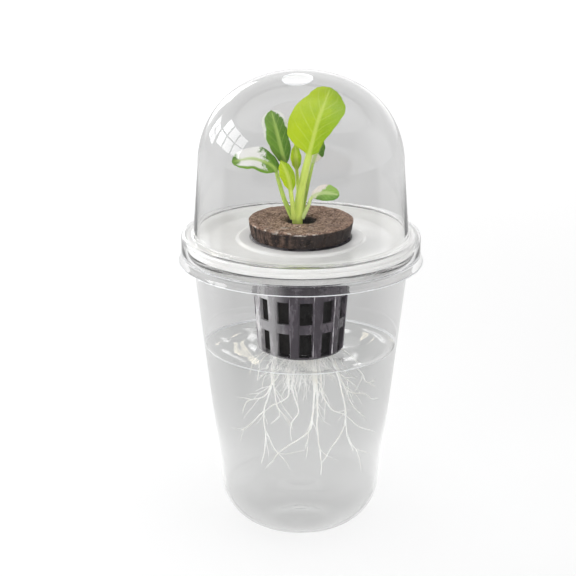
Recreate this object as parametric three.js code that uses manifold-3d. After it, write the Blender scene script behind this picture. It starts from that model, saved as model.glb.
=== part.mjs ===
// Hydroponic propagation cup: clear cup, white planting disc, net pot, grow plug, seedling and dome lid.
// Sizes are in millimetres. The origin is the middle of the cup's foot and +Z is up.
import * as THREE from 'three';
import { mergeVertices } from 'three/addons/utils/BufferGeometryUtils.js';
import Module from 'manifold-3d';

const wasm = await Module();
wasm.setup();

// Shared values
const FIT_GAP = 0.3; // air left between pieces that rest on each other
const ROUND_STEPS = 40; // facets round a full turn
const EDGE_STEPS = 2; // divisions of a small rounded edge

// Cup
const CUP_HEIGHT = 128;
const CUP_FOOT_RADIUS = 14; // where the standing ring ends and the corner begins
const CUP_FOOT_WIDTH = 2.6;
const CUP_PUNT = 1.4; // rise of the base inside the standing ring
const CUP_CORNER = 21;
const CUP_CORNER_STEPS = 6;
const CUP_TAPER = 0.112; // growth of the radius per millimetre of height
const CUP_WALL = 0.8;
const CUP_RIM_OVERHANG = 1.95; // how far the rolled rim stands out from the wall
const CUP_BEAD_RADIUS = 1.8;

// Planting disc
const DISC_OVERHANG = 0.2; // beyond the cup's rim
const DISC_EDGE_HEIGHT = 4.2;
const DISC_GROOVE = 0.6; // depth of the groove round the edge
const DISC_SHEET = 1.3;
const DISC_BEAD_WIDTH = 2.4; // flat top of the raised edge
const DISC_DISH_DEPTH = 2.3; // from the raised edge down to the dish's floor
const DISC_DISH_SLOPE = 8.5; // width of the slope between them
const DISC_BOSS_RADIUS = 27.3;
const DISC_BOSS_RISE = 0.9;
const DISC_RING_DEPTH = 3.8; // centring ring in the cup's mouth
const DISC_RING_WALL = 1.2;

// Net pot
const POT_DEPTH = 49.2; // from the top of the flange to the bottom
const POT_FLANGE_WIDTH = 1.5;
const POT_FLANGE_THICKNESS = 1.2;
const POT_NECK_RADIUS = 20.3;
const POT_NECK_HEIGHT = 16; // straight part under the flange
const POT_FOOT_RADIUS = 18.1;
const POT_WALL = 1.3;
const POT_CORNER = 1.6;
const POT_HOLE_GAP = 0.6; // radial gap between the pot's neck and the disc's hole
const WINDOW_COUNT = 12;
const WINDOW_WIDTH = 5.5;
const WINDOW_TURN = 7; // degrees round Z from the first window to +X
const WINDOW_ROWS = [
  { foot: 1.5, height: 11 },
  { foot: 16.9, height: 10.2 },
];
const RIB_WIDTH = 3.6;
const RIB_PROUD = 0.4;
const RIB_HEIGHT = 31;
const FLOOR_SLOTS = 12;
const FLOOR_SLOT_WIDTH = 2.4;
const FLOOR_SLOT_INNER = 8;
const FLOOR_SLOT_OUTER = 14;
const FLOOR_HOLE_RADIUS = 4;

// Grow plug
const PLUG_TOP_OVERHANG = 1.3; // beyond the pot's flange
const PLUG_HEAD_INSET = 0.1; // from the flange's edge to the foot of the head
const PLUG_HEAD_HEIGHT = 8.1;
const PLUG_EDGE = 1.2;
const PLUG_DIMPLE_RADIUS = 6.2;
const PLUG_DIMPLE_DEPTH = 2;
const PLUG_HOLE_RADIUS = 4.4;
const PLUG_HOLE_DEPTH = 13;

// Dome lid
const DOME_WALL = 0.8;
const DOME_BASE_INSET = 3.1; // from the disc's edge in to the dome's wall
const DOME_WALL_HEIGHT = 30;
const DOME_WALL_LEAN = 2.3; // loss of radius over that height
const DOME_CROWN_RISE = 39.6;
const DOME_CROWN_POWER = 2.12; // 2 is a plain ellipse, more is squarer
const DOME_CROWN_STEPS = 11;
const DOME_VENT_RADIUS = 6.2;
const DOME_VENT_FORWARD = 9.2; // from the crown's middle towards -Y
const DOME_VENT_ASIDE = 1.6; // from the crown's middle towards -X
const SKIRT_GAP = 1.3; // between the disc's edge and the inside of the skirt
const SKIRT_DEPTH = 11.8;
const SKIRT_ROUND = 1.6;
const SKIRT_FLARE = 1.3;
const SKIRT_FLARE_HEIGHT = 2.6;
const SNAP_HEIGHT = 3; // middle of the snap ring above the skirt's lower edge
const SNAP_PROUD = 0.7;

// Seedling
const STEM_OFFSET = -1.6; // along X from the plug's middle
const STEM_RADIUS = 2.2;
const STEM_RISE = 2.6; // above the plug's top
const STEM_DEPTH = 10; // into the plug's hole
const STALK_BASE_RISE = 1.2; // above the plug's top, where the stalks leave the stem
const LEAF_UNIT = 1; // one unit of the leaf table below
const LEAF_THICKNESS = 0.9;
const LEAF_RINGS = 13;
const LEAF_SIDES = 5; // points across one face of a leaf

// Roots
const ROOT_TUFT_RADIUS = 12.5;
const ROOT_TUFT_HEIGHT = 26;
const ROOT_STRANDS = 18;
const ROOT_STRAND_RADIUS = 0.62;
const ROOT_STRAND_TIP = 0.34;
const ROOT_REACH = 25; // how far the widest strand spreads from the middle
const ROOT_LENGTH = 58; // how far the longest strand hangs below the pot
const ROOT_SIDES = 5;
const ROOT_RINGS = 8;
const ROOT_BUNDLE_RADIUS = 2.6;
const TURN_STEP = THREE.MathUtils.degToRad(137.5);

// Heights and radii that follow from the sizes above
const cupLean = Math.atan(CUP_TAPER);
const cupRadius = (z) => CUP_FOOT_RADIUS + CUP_CORNER / Math.cos(cupLean) + CUP_TAPER * (z - CUP_CORNER);
const rimRadius = cupRadius(CUP_HEIGHT) + CUP_RIM_OVERHANG;
const discRadius = rimRadius + DISC_OVERHANG;
const discSeat = CUP_HEIGHT + FIT_GAP;
const discTop = discSeat + DISC_EDGE_HEIGHT;
const dishFloor = discTop - DISC_DISH_DEPTH;
const bossTop = dishFloor + DISC_BOSS_RISE;
const potFoot = bossTop - POT_DEPTH;
const flangeFoot = bossTop - POT_FLANGE_THICKNESS;
const flangeRadius = POT_NECK_RADIUS + POT_FLANGE_WIDTH;
const discHoleRadius = POT_NECK_RADIUS + POT_HOLE_GAP;
const neckFoot = flangeFoot - POT_NECK_HEIGHT;
const plugShoulder = bossTop + FIT_GAP;
const plugTop = plugShoulder + PLUG_HEAD_HEIGHT;
const plugFoot = potFoot + POT_WALL + FIT_GAP;
const plugTopRadius = flangeRadius + PLUG_TOP_OVERHANG;
const plugHeadRadius = flangeRadius - PLUG_HEAD_INSET;
const shoulderFoot = discTop + FIT_GAP;
const shoulderTop = shoulderFoot + DOME_WALL;
const domeBaseRadius = discRadius - DOME_BASE_INSET;
const domeSpringRadius = domeBaseRadius - DOME_WALL_LEAN;
const domeSpring = shoulderTop + DOME_WALL_HEIGHT;
const skirtInner = discRadius + SKIRT_GAP;
const skirtOuter = skirtInner + DOME_WALL;
const skirtFoot = shoulderTop - SKIRT_DEPTH;

/** Outer radius of the net pot at height z: tapered up to the neck, then straight. */
function potRadius(z) {
  const share = THREE.MathUtils.clamp((z - potFoot) / (neckFoot - potFoot), 0, 1);
  return THREE.MathUtils.lerp(POT_FOOT_RADIUS, POT_NECK_RADIUS, share);
}

/** A path in the half plane of radius and height, started at a point. */
function pathFrom(radius, height) {
  const path = new THREE.Path();
  path.moveTo(radius, height);
  return path;
}

/** Adds straight runs through the given [radius, height] points. */
function runThrough(path, points) {
  points.forEach(([radius, height]) => path.lineTo(radius, height));
  return path;
}

/** Welds a geometry, drops collapsed triangles and turns every face outwards. */
function welded(geometry) {
  const bare = new THREE.BufferGeometry();
  bare.setAttribute('position', geometry.getAttribute('position').clone());
  if (geometry.index) bare.setIndex(geometry.index.clone());
  const joined = mergeVertices(bare, 1e-4);
  const source = joined.index.array;
  const position = joined.getAttribute('position');
  const [a, b, c] = [new THREE.Vector3(), new THREE.Vector3(), new THREE.Vector3()];
  const kept = [];
  let volume = 0;
  for (let i = 0; i < source.length; i += 3) {
    const [p, q, r] = [source[i], source[i + 1], source[i + 2]];
    if (p === q || q === r || r === p) continue;
    kept.push(p, q, r);
    a.fromBufferAttribute(position, p);
    b.fromBufferAttribute(position, q);
    c.fromBufferAttribute(position, r);
    volume += a.dot(b.cross(c));
  }
  if (volume < 0) {
    for (let i = 0; i < kept.length; i += 3) [kept[i], kept[i + 1]] = [kept[i + 1], kept[i]];
  }
  joined.setIndex(kept);
  return joined;
}

/** The outline, given as a path, revolved about Z. */
function revolve(path, divisions = EDGE_STEPS) {
  const lathe = new THREE.LatheGeometry(path.getPoints(divisions), ROUND_STEPS);
  lathe.rotateX(Math.PI / 2);
  return welded(lathe);
}

/** A closed solid through rings of points, with a flat end on the first and last ring. */
function loft(rings) {
  const sides = rings[0].length;
  const points = rings.flat();
  const faces = [];
  for (let ring = 0; ring + 1 < rings.length; ring += 1) {
    for (let side = 0; side < sides; side += 1) {
      const here = ring * sides + side;
      const next = ring * sides + ((side + 1) % sides);
      faces.push(here, next, next + sides, here, next + sides, here + sides);
    }
  }
  const last = (rings.length - 1) * sides;
  for (let side = 1; side + 1 < sides; side += 1) {
    faces.push(0, side + 1, side);
    faces.push(last, last + side, last + side + 1);
  }
  const geometry = new THREE.BufferGeometry().setFromPoints(points);
  geometry.setIndex(faces);
  return welded(geometry);
}

/** The solid of a closed geometry, ready to be joined or cut. */
function toSolid(geometry) {
  const closed = welded(geometry);
  const mesh = new wasm.Mesh({
    numProp: 3,
    vertProperties: new Float32Array(closed.getAttribute('position').array),
    triVerts: new Uint32Array(closed.index.array),
  });
  return new wasm.Manifold(mesh);
}

/** The geometry of a solid that was joined or cut. */
function toGeometry(solid) {
  const mesh = solid.getMesh();
  const geometry = new THREE.BufferGeometry();
  geometry.setAttribute('position', new THREE.BufferAttribute(new Float32Array(mesh.vertProperties), 3));
  geometry.setIndex(Array.from(mesh.triVerts));
  return welded(geometry);
}

/** A box that reaches outwards along a bearing, between two radii and two heights. */
function radialBox(bearing, inner, outer, width, low, high) {
  const box = new THREE.BoxGeometry(outer - inner, width, high - low);
  box.translate((inner + outer) / 2, 0, (low + high) / 2);
  box.rotateZ(bearing);
  return box;
}

/** Clear cup: standing ring, large corner, tapered wall and rolled rim, in one sheet. */
function cupGeometry() {
  const beadMiddle = rimRadius - CUP_BEAD_RADIUS;
  const beadFoot = CUP_HEIGHT - 2 * CUP_BEAD_RADIUS;
  const footInner = CUP_FOOT_RADIUS - CUP_FOOT_WIDTH;
  const lip = CUP_WALL * 0.6;
  const path = pathFrom(0, CUP_PUNT);
  runThrough(path, [
    [footInner * 0.8, CUP_PUNT],
    [footInner, 0],
    [CUP_FOOT_RADIUS, 0],
  ]);
  const corner = new THREE.EllipseCurve(
    CUP_FOOT_RADIUS, CUP_CORNER, CUP_CORNER, CUP_CORNER, -Math.PI / 2, -cupLean);
  runThrough(path, corner.getPoints(CUP_CORNER_STEPS).slice(1).map((p) => [p.x, p.y]));
  runThrough(path, [
    [cupRadius(beadFoot), beadFoot],
    [beadMiddle, beadFoot],
  ]);
  path.absarc(beadMiddle, CUP_HEIGHT - CUP_BEAD_RADIUS, CUP_BEAD_RADIUS, -Math.PI / 2, Math.PI / 2);
  const mouth = cupRadius(CUP_HEIGHT) - CUP_WALL;
  runThrough(path, [
    [mouth + lip, CUP_HEIGHT],
    [mouth, CUP_HEIGHT - lip],
  ]);
  const inside = CUP_CORNER - CUP_WALL;
  const innerCorner = new THREE.EllipseCurve(
    CUP_FOOT_RADIUS, CUP_CORNER, inside, inside, -cupLean, -Math.PI / 2, true);
  runThrough(path, innerCorner.getPoints(CUP_CORNER_STEPS).map((p) => [p.x, p.y]));
  runThrough(path, [
    [footInner, CUP_WALL],
    [footInner * 0.8, CUP_PUNT + CUP_WALL],
    [0, CUP_PUNT + CUP_WALL],
  ]);
  return revolve(path);
}

/** White planting disc: grooved edge, dish, boss with the pot's seat, and a centring ring below. */
function discGeometry() {
  const edgeMiddle = discSeat + DISC_EDGE_HEIGHT * 0.42;
  const beadInner = discRadius - DISC_BEAD_WIDTH;
  const dishEdge = beadInner - DISC_DISH_SLOPE;
  const seat = flangeFoot - FIT_GAP;
  const seatRadius = flangeRadius + FIT_GAP;
  const ringOuter = cupRadius(discSeat - DISC_RING_DEPTH) - CUP_WALL - FIT_GAP;
  const ringInner = ringOuter - DISC_RING_WALL;
  const under = dishFloor - DISC_SHEET;
  const seatUnder = seat - DISC_SHEET;
  const webRadius = seatRadius + DISC_SHEET;
  const round = DISC_GROOVE * 1.4;
  const path = pathFrom(discRadius, discSeat);
  runThrough(path, [
    [discRadius, edgeMiddle - DISC_GROOVE],
    [discRadius - DISC_GROOVE, edgeMiddle - DISC_GROOVE * 0.4],
    [discRadius - DISC_GROOVE, edgeMiddle + DISC_GROOVE * 0.4],
    [discRadius - DISC_GROOVE * 0.3, edgeMiddle + DISC_GROOVE],
    [discRadius - DISC_GROOVE * 0.3, discTop - round],
  ]);
  path.absarc(discRadius - DISC_GROOVE * 0.3 - round, discTop - round, round, 0, Math.PI / 2);
  path.lineTo(beadInner, discTop);
  path.bezierCurveTo(
    beadInner - DISC_DISH_SLOPE * 0.35, discTop,
    dishEdge + DISC_DISH_SLOPE * 0.4, dishFloor,
    dishEdge, dishFloor);
  runThrough(path, [
    [DISC_BOSS_RADIUS + DISC_BOSS_RISE * 0.6, dishFloor],
    [DISC_BOSS_RADIUS, bossTop - DISC_BOSS_RISE * 0.25],
    [DISC_BOSS_RADIUS - DISC_BOSS_RISE * 0.4, bossTop],
    [seatRadius, bossTop],
    [seatRadius, seat],
    [discHoleRadius, seat],
    [discHoleRadius, seatUnder],
    [webRadius, seatUnder],
    [webRadius + (under - seatUnder), under],
    [dishEdge, under],
    [ringInner - DISC_SHEET, discSeat + FIT_GAP],
    [ringInner, discSeat],
    [ringInner, discSeat - DISC_RING_DEPTH],
    [ringOuter, discSeat - DISC_RING_DEPTH],
    [ringOuter, discSeat],
    [discRadius, discSeat],
  ]);
  return revolve(path, 4);
}

/** Black net pot: flanged shell with outside ribs, two rows of windows and a slotted floor. */
function potGeometry() {
  const floorTop = potFoot + POT_WALL;
  const innerFoot = potRadius(floorTop) - POT_WALL;
  const path = pathFrom(0, potFoot);
  path.lineTo(POT_FOOT_RADIUS - POT_CORNER, potFoot);
  path.absarc(POT_FOOT_RADIUS - POT_CORNER, potFoot + POT_CORNER, POT_CORNER, -Math.PI / 2, 0);
  runThrough(path, [
    [POT_NECK_RADIUS, neckFoot],
    [POT_NECK_RADIUS, flangeFoot],
    [flangeRadius, flangeFoot],
    [flangeRadius, bossTop],
    [POT_NECK_RADIUS - POT_WALL, bossTop],
    [POT_NECK_RADIUS - POT_WALL, neckFoot],
    [innerFoot, floorTop],
    [0, floorTop],
  ]);
  let pot = toSolid(revolve(path));
  const pitch = (2 * Math.PI) / WINDOW_COUNT;
  const turn = THREE.MathUtils.degToRad(WINDOW_TURN);
  for (let i = 0; i < WINDOW_COUNT; i += 1) {
    const ribLow = potFoot + WINDOW_ROWS[0].foot;
    const ribHigh = ribLow + RIB_HEIGHT;
    const bearing = turn + (i + 0.5) * pitch;
    pot = pot.add(toSolid(ribGeometry(bearing, ribLow, ribHigh)));
  }
  const reach = flangeRadius + RIB_PROUD;
  for (const row of WINDOW_ROWS) {
    const low = potFoot + row.foot;
    const high = low + row.height;
    for (let i = 0; i < WINDOW_COUNT; i += 1) {
      const inner = innerFoot - POT_WALL;
      pot = pot.subtract(toSolid(radialBox(turn + i * pitch, inner, reach, WINDOW_WIDTH, low, high)));
    }
  }
  for (let i = 0; i < FLOOR_SLOTS; i += 1) {
    const bearing = turn + (i * 2 * Math.PI) / FLOOR_SLOTS;
    const slot = radialBox(
      bearing, FLOOR_SLOT_INNER, FLOOR_SLOT_OUTER, FLOOR_SLOT_WIDTH, potFoot - POT_WALL, floorTop + POT_WALL);
    pot = pot.subtract(toSolid(slot));
  }
  const hole = new THREE.CylinderGeometry(
    FLOOR_HOLE_RADIUS, FLOOR_HOLE_RADIUS, POT_WALL * 4, FLOOR_SLOTS * 2);
  hole.rotateX(Math.PI / 2);
  hole.translate(0, 0, potFoot);
  pot = pot.subtract(toSolid(hole));
  return toGeometry(pot);
}

/** One upright rib on the pot's outside, following its taper, sunk half into the wall. */
function ribGeometry(bearing, low, high) {
  const half = RIB_WIDTH / 2;
  const rings = [low, Math.min(neckFoot, high), high].map((z) => {
    const sunk = potRadius(z) - POT_WALL / 2;
    const proud = potRadius(z) + RIB_PROUD;
    return [[sunk, -half], [proud, -half], [proud, half], [sunk, half]]
      .map(([x, y]) => new THREE.Vector3(x, y, z).applyAxisAngle(new THREE.Vector3(0, 0, 1), bearing));
  });
  return loft(rings);
}

/** Brown grow plug: head over the pot's flange, tapered body in the pot, dimple and planting hole. */
function plugGeometry() {
  const inPot = (z) => potRadius(z) - POT_WALL - FIT_GAP;
  const path = pathFrom(0, plugFoot);
  runThrough(path, [
    [inPot(plugFoot) - PLUG_EDGE, plugFoot],
    [inPot(plugFoot), plugFoot + PLUG_EDGE],
    [inPot(neckFoot), neckFoot],
    [inPot(bossTop), plugShoulder],
    [plugHeadRadius - PLUG_EDGE / 2, plugShoulder],
    [plugHeadRadius, plugShoulder + PLUG_EDGE / 2],
    [plugTopRadius, plugTop - PLUG_EDGE],
  ]);
  path.absarc(plugTopRadius - PLUG_EDGE, plugTop - PLUG_EDGE, PLUG_EDGE, 0, Math.PI / 2);
  runThrough(path, [
    [PLUG_DIMPLE_RADIUS + PLUG_EDGE, plugTop - PLUG_EDGE / 3],
    [PLUG_DIMPLE_RADIUS, plugTop - PLUG_DIMPLE_DEPTH / 2],
    [PLUG_HOLE_RADIUS, plugTop - PLUG_DIMPLE_DEPTH],
    [PLUG_HOLE_RADIUS, plugTop - PLUG_HOLE_DEPTH],
    [0, plugTop - PLUG_HOLE_DEPTH],
  ]);
  return revolve(path);
}

/** Points of the dome's crown on a sheet of the given inset, from the spring line up to the middle. */
function crownPoints(inset) {
  const radius = domeSpringRadius - inset;
  const rise = DOME_CROWN_RISE - inset;
  const power = 2 / DOME_CROWN_POWER;
  const points = [];
  for (let i = 0; i < DOME_CROWN_STEPS; i += 1) {
    const angle = (Math.PI / 2) * (i / DOME_CROWN_STEPS);
    points.push([radius * Math.cos(angle) ** power, domeSpring + rise * Math.sin(angle) ** power]);
  }
  points.push([0, domeSpring + rise]);
  return points;
}

/** Clear dome lid: crown with a vent cut in front, wall, shoulder, flared skirt and snap ring. */
function domeGeometry() {
  const flareTop = skirtFoot + SKIRT_FLARE_HEIGHT;
  const snap = skirtFoot + SNAP_HEIGHT;
  const innerRound = SKIRT_ROUND - DOME_WALL / 2;
  const path = pathFrom(...crownPoints(0).at(-1));
  runThrough(path, crownPoints(0).reverse().slice(1));
  path.lineTo(domeBaseRadius, shoulderTop + DOME_WALL);
  path.lineTo(domeBaseRadius + DOME_WALL, shoulderTop);
  path.lineTo(skirtOuter - SKIRT_ROUND, shoulderTop);
  path.absarc(skirtOuter - SKIRT_ROUND, shoulderTop - SKIRT_ROUND, SKIRT_ROUND, Math.PI / 2, 0, true);
  runThrough(path, [
    [skirtOuter, flareTop],
    [skirtOuter + SKIRT_FLARE * 0.4, skirtFoot + SKIRT_FLARE_HEIGHT * 0.4],
    [skirtOuter + SKIRT_FLARE, skirtFoot],
    [skirtInner + SKIRT_FLARE, skirtFoot],
    [skirtInner + SKIRT_FLARE * 0.3, skirtFoot + SKIRT_FLARE_HEIGHT * 0.4],
    [skirtInner - SNAP_PROUD, snap],
    [skirtInner, snap + SNAP_PROUD * 1.6],
    [skirtInner, shoulderFoot - innerRound],
    [skirtInner - innerRound, shoulderFoot],
    [domeBaseRadius, shoulderFoot],
    [domeBaseRadius - DOME_WALL, shoulderTop],
  ]);
  runThrough(path, crownPoints(DOME_WALL));
  const vent = new THREE.CylinderGeometry(DOME_VENT_RADIUS, DOME_VENT_RADIUS, DOME_CROWN_RISE / 2, 32);
  vent.rotateX(Math.PI / 2);
  vent.translate(-DOME_VENT_ASIDE, -DOME_VENT_FORWARD, domeSpring + DOME_CROWN_RISE);
  return toGeometry(toSolid(revolve(path)).subtract(toSolid(vent)));
}

/** Short stem of the seedling, standing in the plug's hole. */
function stemGeometry() {
  const foot = plugTop - STEM_DEPTH;
  const top = plugTop + STEM_RISE;
  const path = pathFrom(0, foot);
  runThrough(path, [
    [STEM_RADIUS * 0.5, foot],
    [STEM_RADIUS * 0.85, foot + STEM_RADIUS],
    [STEM_RADIUS, plugTop],
    [STEM_RADIUS * 0.9, top - STEM_RADIUS * 0.3],
    [STEM_RADIUS * 0.6, top],
    [0, top],
  ]);
  const lathe = new THREE.LatheGeometry(path.getPoints(1), 12);
  lathe.rotateX(Math.PI / 2);
  lathe.translate(STEM_OFFSET, 0, 0);
  return welded(lathe);
}

// Leaves: bearing of the stalk round the stem in degrees (null is on top of it), the line of the stalk
// and midrib with heights above the plug's top, where the blade begins along it, half the blade's width,
// the share of the blade where it is widest, the way the upper face looks, the fold along the midrib, and
// how much of the width lies on the midrib's left at the blade's foot and at its tip.
const LEAVES = [
  {
    name: 'leaf_large', bearing: null, stalk: 1.7, blade: 0.46, half: 9.9, widest: 0.56, fold: 0.12,
    line: [[-0.2, -0.6, 11.5], [1.8, -0.9, 21.5], [3.9, -1, 30.5], [7.3, -0.6, 43.5], [12.2, 1.2, 56.7]],
    face: [-0.12, -1, 0.2], colour: 0xb4d13a, lean: [0.5, -0.2],
  },
  {
    name: 'leaf_upright', bearing: 125, stalk: 0.8, blade: 0.45, half: 5.7, widest: 0.6, fold: 0.18,
    line: [[-4.4, 4.2, 10.5], [-5.8, 4.8, 20.5], [-7.6, 5, 26.5], [-10.4, 5.2, 37.5], [-12.6, 5.6, 46.1]],
    face: [-0.25, -1, 0.1], colour: 0x5f8f30,
  },
  {
    name: 'leaf_left', bearing: 195, stalk: 0.85, blade: 0.5, half: 6, widest: 0.55, fold: 0.15,
    line: [[-7, -1.6, 8.5], [-9.6, -2.2, 17.5], [-11.8, -2.6, 23.3], [-20, -3.2, 27], [-29.2, -4, 25.9]],
    face: [0.1, -0.7, 0.75], colour: 0x6a9636,
  },
  {
    name: 'leaf_young_front', bearing: 235, stalk: 0.7, blade: 0.35, half: 3.4, widest: 0.5, fold: 0.3,
    line: [[-3.8, -3.3, 8.5], [-4.4, -3.5, 15.5], [-6, -3.4, 21.5], [-8.6, -3.2, 26.5]],
    face: [-0.3, -1, 0.1], colour: 0xacd040,
  },
  {
    name: 'leaf_young_curled', bearing: 80, stalk: 0.7, blade: 0.45, half: 2.4, widest: 0.5, fold: 0.35,
    line: [[-1.2, 3.4, 10.5], [-1.8, 3, 20.5], [-2.2, 2.6, 26.5], [-2.6, 2, 32.1]],
    face: [0, -1, 0.1], colour: 0x9cc040,
  },
  {
    name: 'leaf_small_right', bearing: 345, stalk: 0.7, blade: 0.44, half: 3.6, widest: 0.55, fold: 0.08,
    line: [[3, -1.4, 5.5], [4.8, -1.8, 10], [10, -2.2, 12.1], [16.3, -2.6, 11.1]],
    face: [0.1, -0.9, 0.45], colour: 0x86ab58,
  },
  {
    name: 'leaf_back_right', bearing: 40, stalk: 0.7, blade: 0.55, half: 3.2, widest: 0.5, fold: 0.15,
    line: [[2.2, 3.6, 10.5], [4.4, 5, 20.5], [6, 5.6, 26.5], [9.4, 6.2, 33]],
    face: [0.2, -1, 0.2], colour: 0x7ea54a,
  },
];

/** Half the width of a leaf at a share of its line: the stalk's, then the blade's outline to the tip. */
function leafHalf(leaf, share) {
  if (share <= leaf.blade) return leaf.stalk * LEAF_UNIT;
  const along = (share - leaf.blade) / (1 - leaf.blade);
  const skew = Math.log(0.5) / Math.log(leaf.widest);
  const outline = leaf.half * LEAF_UNIT * Math.sin(Math.PI * along ** skew) ** 0.7;
  const stalk = leaf.stalk * LEAF_UNIT * (1 - along) ** 0.5;
  return Math.max(outline, stalk, 0.3);
}

/** A leaf with its stalk, lofted along its line. */
function leafGeometry(leaf) {
  const onTop = leaf.bearing === null;
  const bearing = THREE.MathUtils.degToRad(leaf.bearing ?? 0);
  const distance = onTop ? 0 : STEM_RADIUS + FIT_GAP + leaf.stalk * LEAF_UNIT * 1.15;
  const base = new THREE.Vector3(
    STEM_OFFSET + distance * Math.cos(bearing),
    distance * Math.sin(bearing),
    plugTop + (onTop ? STEM_RISE + FIT_GAP : STALK_BASE_RISE));
  const foot = new THREE.Vector3(0, 0, plugTop);
  const line = leaf.line.map((point) => new THREE.Vector3(...point).multiplyScalar(LEAF_UNIT).add(foot));
  const curve = new THREE.CatmullRomCurve3([base, ...line]);
  const face = new THREE.Vector3(...leaf.face).normalize();
  const rings = [];
  for (let i = 0; i <= LEAF_RINGS; i += 1) {
    const share = i / LEAF_RINGS;
    const point = curve.getPointAt(share);
    const along = onTop && i === 0 ? new THREE.Vector3(0, 0, 1) : curve.getTangentAt(share);
    const across = new THREE.Vector3().crossVectors(along, face).normalize();
    const up = new THREE.Vector3().crossVectors(across, along).normalize();
    const half = leafHalf(leaf, share);
    const spread = THREE.MathUtils.smoothstep(share, leaf.blade * 0.9, leaf.blade + 0.12);
    const thick = THREE.MathUtils.lerp(leaf.stalk * LEAF_UNIT, LEAF_THICKNESS / 2, spread);
    const reach = (share - leaf.blade) / (1 - leaf.blade);
    const lean = leaf.lean ? THREE.MathUtils.lerp(leaf.lean[0], leaf.lean[1], reach) * spread : 0;
    rings.push(leafRing(point, across, up, half, thick, leaf.fold * spread, lean));
  }
  return loft(rings);
}

/** One cross-section of a leaf: the upper face from edge to edge, then the lower face back. */
function leafRing(point, across, up, half, thick, fold, lean) {
  const ring = [];
  for (const side of [1, -1]) {
    for (let i = 0; i < LEAF_SIDES; i += 1) {
      const angle = (Math.PI * (i + 0.5)) / LEAF_SIDES;
      const u = side * Math.cos(angle);
      const aside = u * half * (1 - lean * Math.sign(u));
      const lift = side * thick * Math.sin(angle) + fold * Math.abs(u) * half;
      ring.push(point.clone().addScaledVector(across, aside).addScaledVector(up, lift));
    }
  }
  return ring;
}

/** A round strand along a curve, thinner towards its end. */
function strandGeometry(curve, startRadius, endRadius) {
  const rings = [];
  for (let i = 0; i <= ROOT_RINGS; i += 1) {
    const share = i / ROOT_RINGS;
    const point = curve.getPointAt(share);
    const along = curve.getTangentAt(share);
    const across = new THREE.Vector3().crossVectors(along, new THREE.Vector3(0.31, 0.95, 0)).normalize();
    const up = new THREE.Vector3().crossVectors(across, along).normalize();
    const radius = THREE.MathUtils.lerp(startRadius, endRadius, share);
    const ring = [];
    for (let side = 0; side < ROOT_SIDES; side += 1) {
      const angle = (2 * Math.PI * side) / ROOT_SIDES;
      ring.push(point.clone()
        .addScaledVector(across, radius * Math.cos(angle))
        .addScaledVector(up, radius * Math.sin(angle)));
    }
    rings.push(ring);
  }
  return loft(rings);
}

/** Roots: a bundle from the plug through the pot's floor, a tuft under it and long strands. */
function rootsGeometry() {
  const tuftTop = potFoot - FIT_GAP;
  const tuftFoot = tuftTop - ROOT_TUFT_HEIGHT;
  const path = pathFrom(0, tuftFoot);
  runThrough(path, [
    [ROOT_TUFT_RADIUS * 0.22, tuftFoot + ROOT_TUFT_HEIGHT * 0.05],
    [ROOT_TUFT_RADIUS * 0.42, tuftFoot + ROOT_TUFT_HEIGHT * 0.4],
    [ROOT_TUFT_RADIUS * 0.8, tuftFoot + ROOT_TUFT_HEIGHT * 0.8],
    [ROOT_TUFT_RADIUS, tuftTop - ROOT_STRAND_RADIUS],
    [ROOT_TUFT_RADIUS * 0.9, tuftTop],
    [ROOT_BUNDLE_RADIUS, tuftTop],
    [ROOT_BUNDLE_RADIUS, plugFoot - FIT_GAP],
    [0, plugFoot - FIT_GAP],
  ]);
  const tuft = new THREE.LatheGeometry(path.getPoints(1), 16);
  tuft.rotateX(Math.PI / 2);
  let roots = toSolid(tuft);
  for (let i = 0; i < ROOT_STRANDS; i += 1) {
    const bearing = i * TURN_STEP;
    const share = (i + 0.5) / ROOT_STRANDS;
    const reach = ROOT_REACH * Math.sqrt(0.15 + 0.85 * share);
    const depth = ROOT_LENGTH * (1 - 0.62 * share * share);
    const sway = 3 * Math.sin(i * 2.4);
    const out = new THREE.Vector3(Math.cos(bearing), Math.sin(bearing), 0);
    const aside = new THREE.Vector3(-out.y, out.x, 0);
    const at = (radius, offset, drop) => out.clone().multiplyScalar(radius)
      .addScaledVector(aside, offset).setZ(tuftTop - drop);
    const curve = new THREE.CatmullRomCurve3([
      at(ROOT_TUFT_RADIUS * 0.5, 0, 3),
      at(ROOT_TUFT_RADIUS * 0.5 + reach * 0.2, sway * 0.6, depth * 0.25),
      at(reach * 0.72, sway, depth * 0.6),
      at(reach, sway * 0.2, depth),
    ]);
    roots = roots.add(toSolid(strandGeometry(curve, ROOT_STRAND_RADIUS, ROOT_STRAND_TIP)));
  }
  return toGeometry(roots);
}

/** A named piece with its own finish. */
function piece(name, geometry, colour, roughness, opacity = 1) {
  const material = new THREE.MeshStandardMaterial({
    color: new THREE.Color(colour), roughness, metalness: 0, opacity, transparent: opacity < 1,
  });
  const mesh = new THREE.Mesh(geometry, material);
  mesh.name = name;
  return mesh;
}

const cup = new THREE.Group();
cup.name = 'hydroponic_propagation_cup';
cup.add(piece('cup', cupGeometry(), 0xd8dbdc, 0.08, 0.35));
cup.add(piece('planting_disc', discGeometry(), 0xf2f1ee, 0.32));
cup.add(piece('net_pot', potGeometry(), 0x2b2a2d, 0.3));
cup.add(piece('grow_plug', plugGeometry(), 0x5e4b3f, 0.9));
cup.add(piece('dome_lid', domeGeometry(), 0xd8dbdc, 0.08, 0.35));
cup.add(piece('seedling_stem', stemGeometry(), 0x9fc455, 0.55));
for (const leaf of LEAVES) cup.add(piece(leaf.name, leafGeometry(leaf), leaf.colour, 0.5));
cup.add(piece('roots', rootsGeometry(), 0xecebe4, 0.6));

export default cup;
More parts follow.
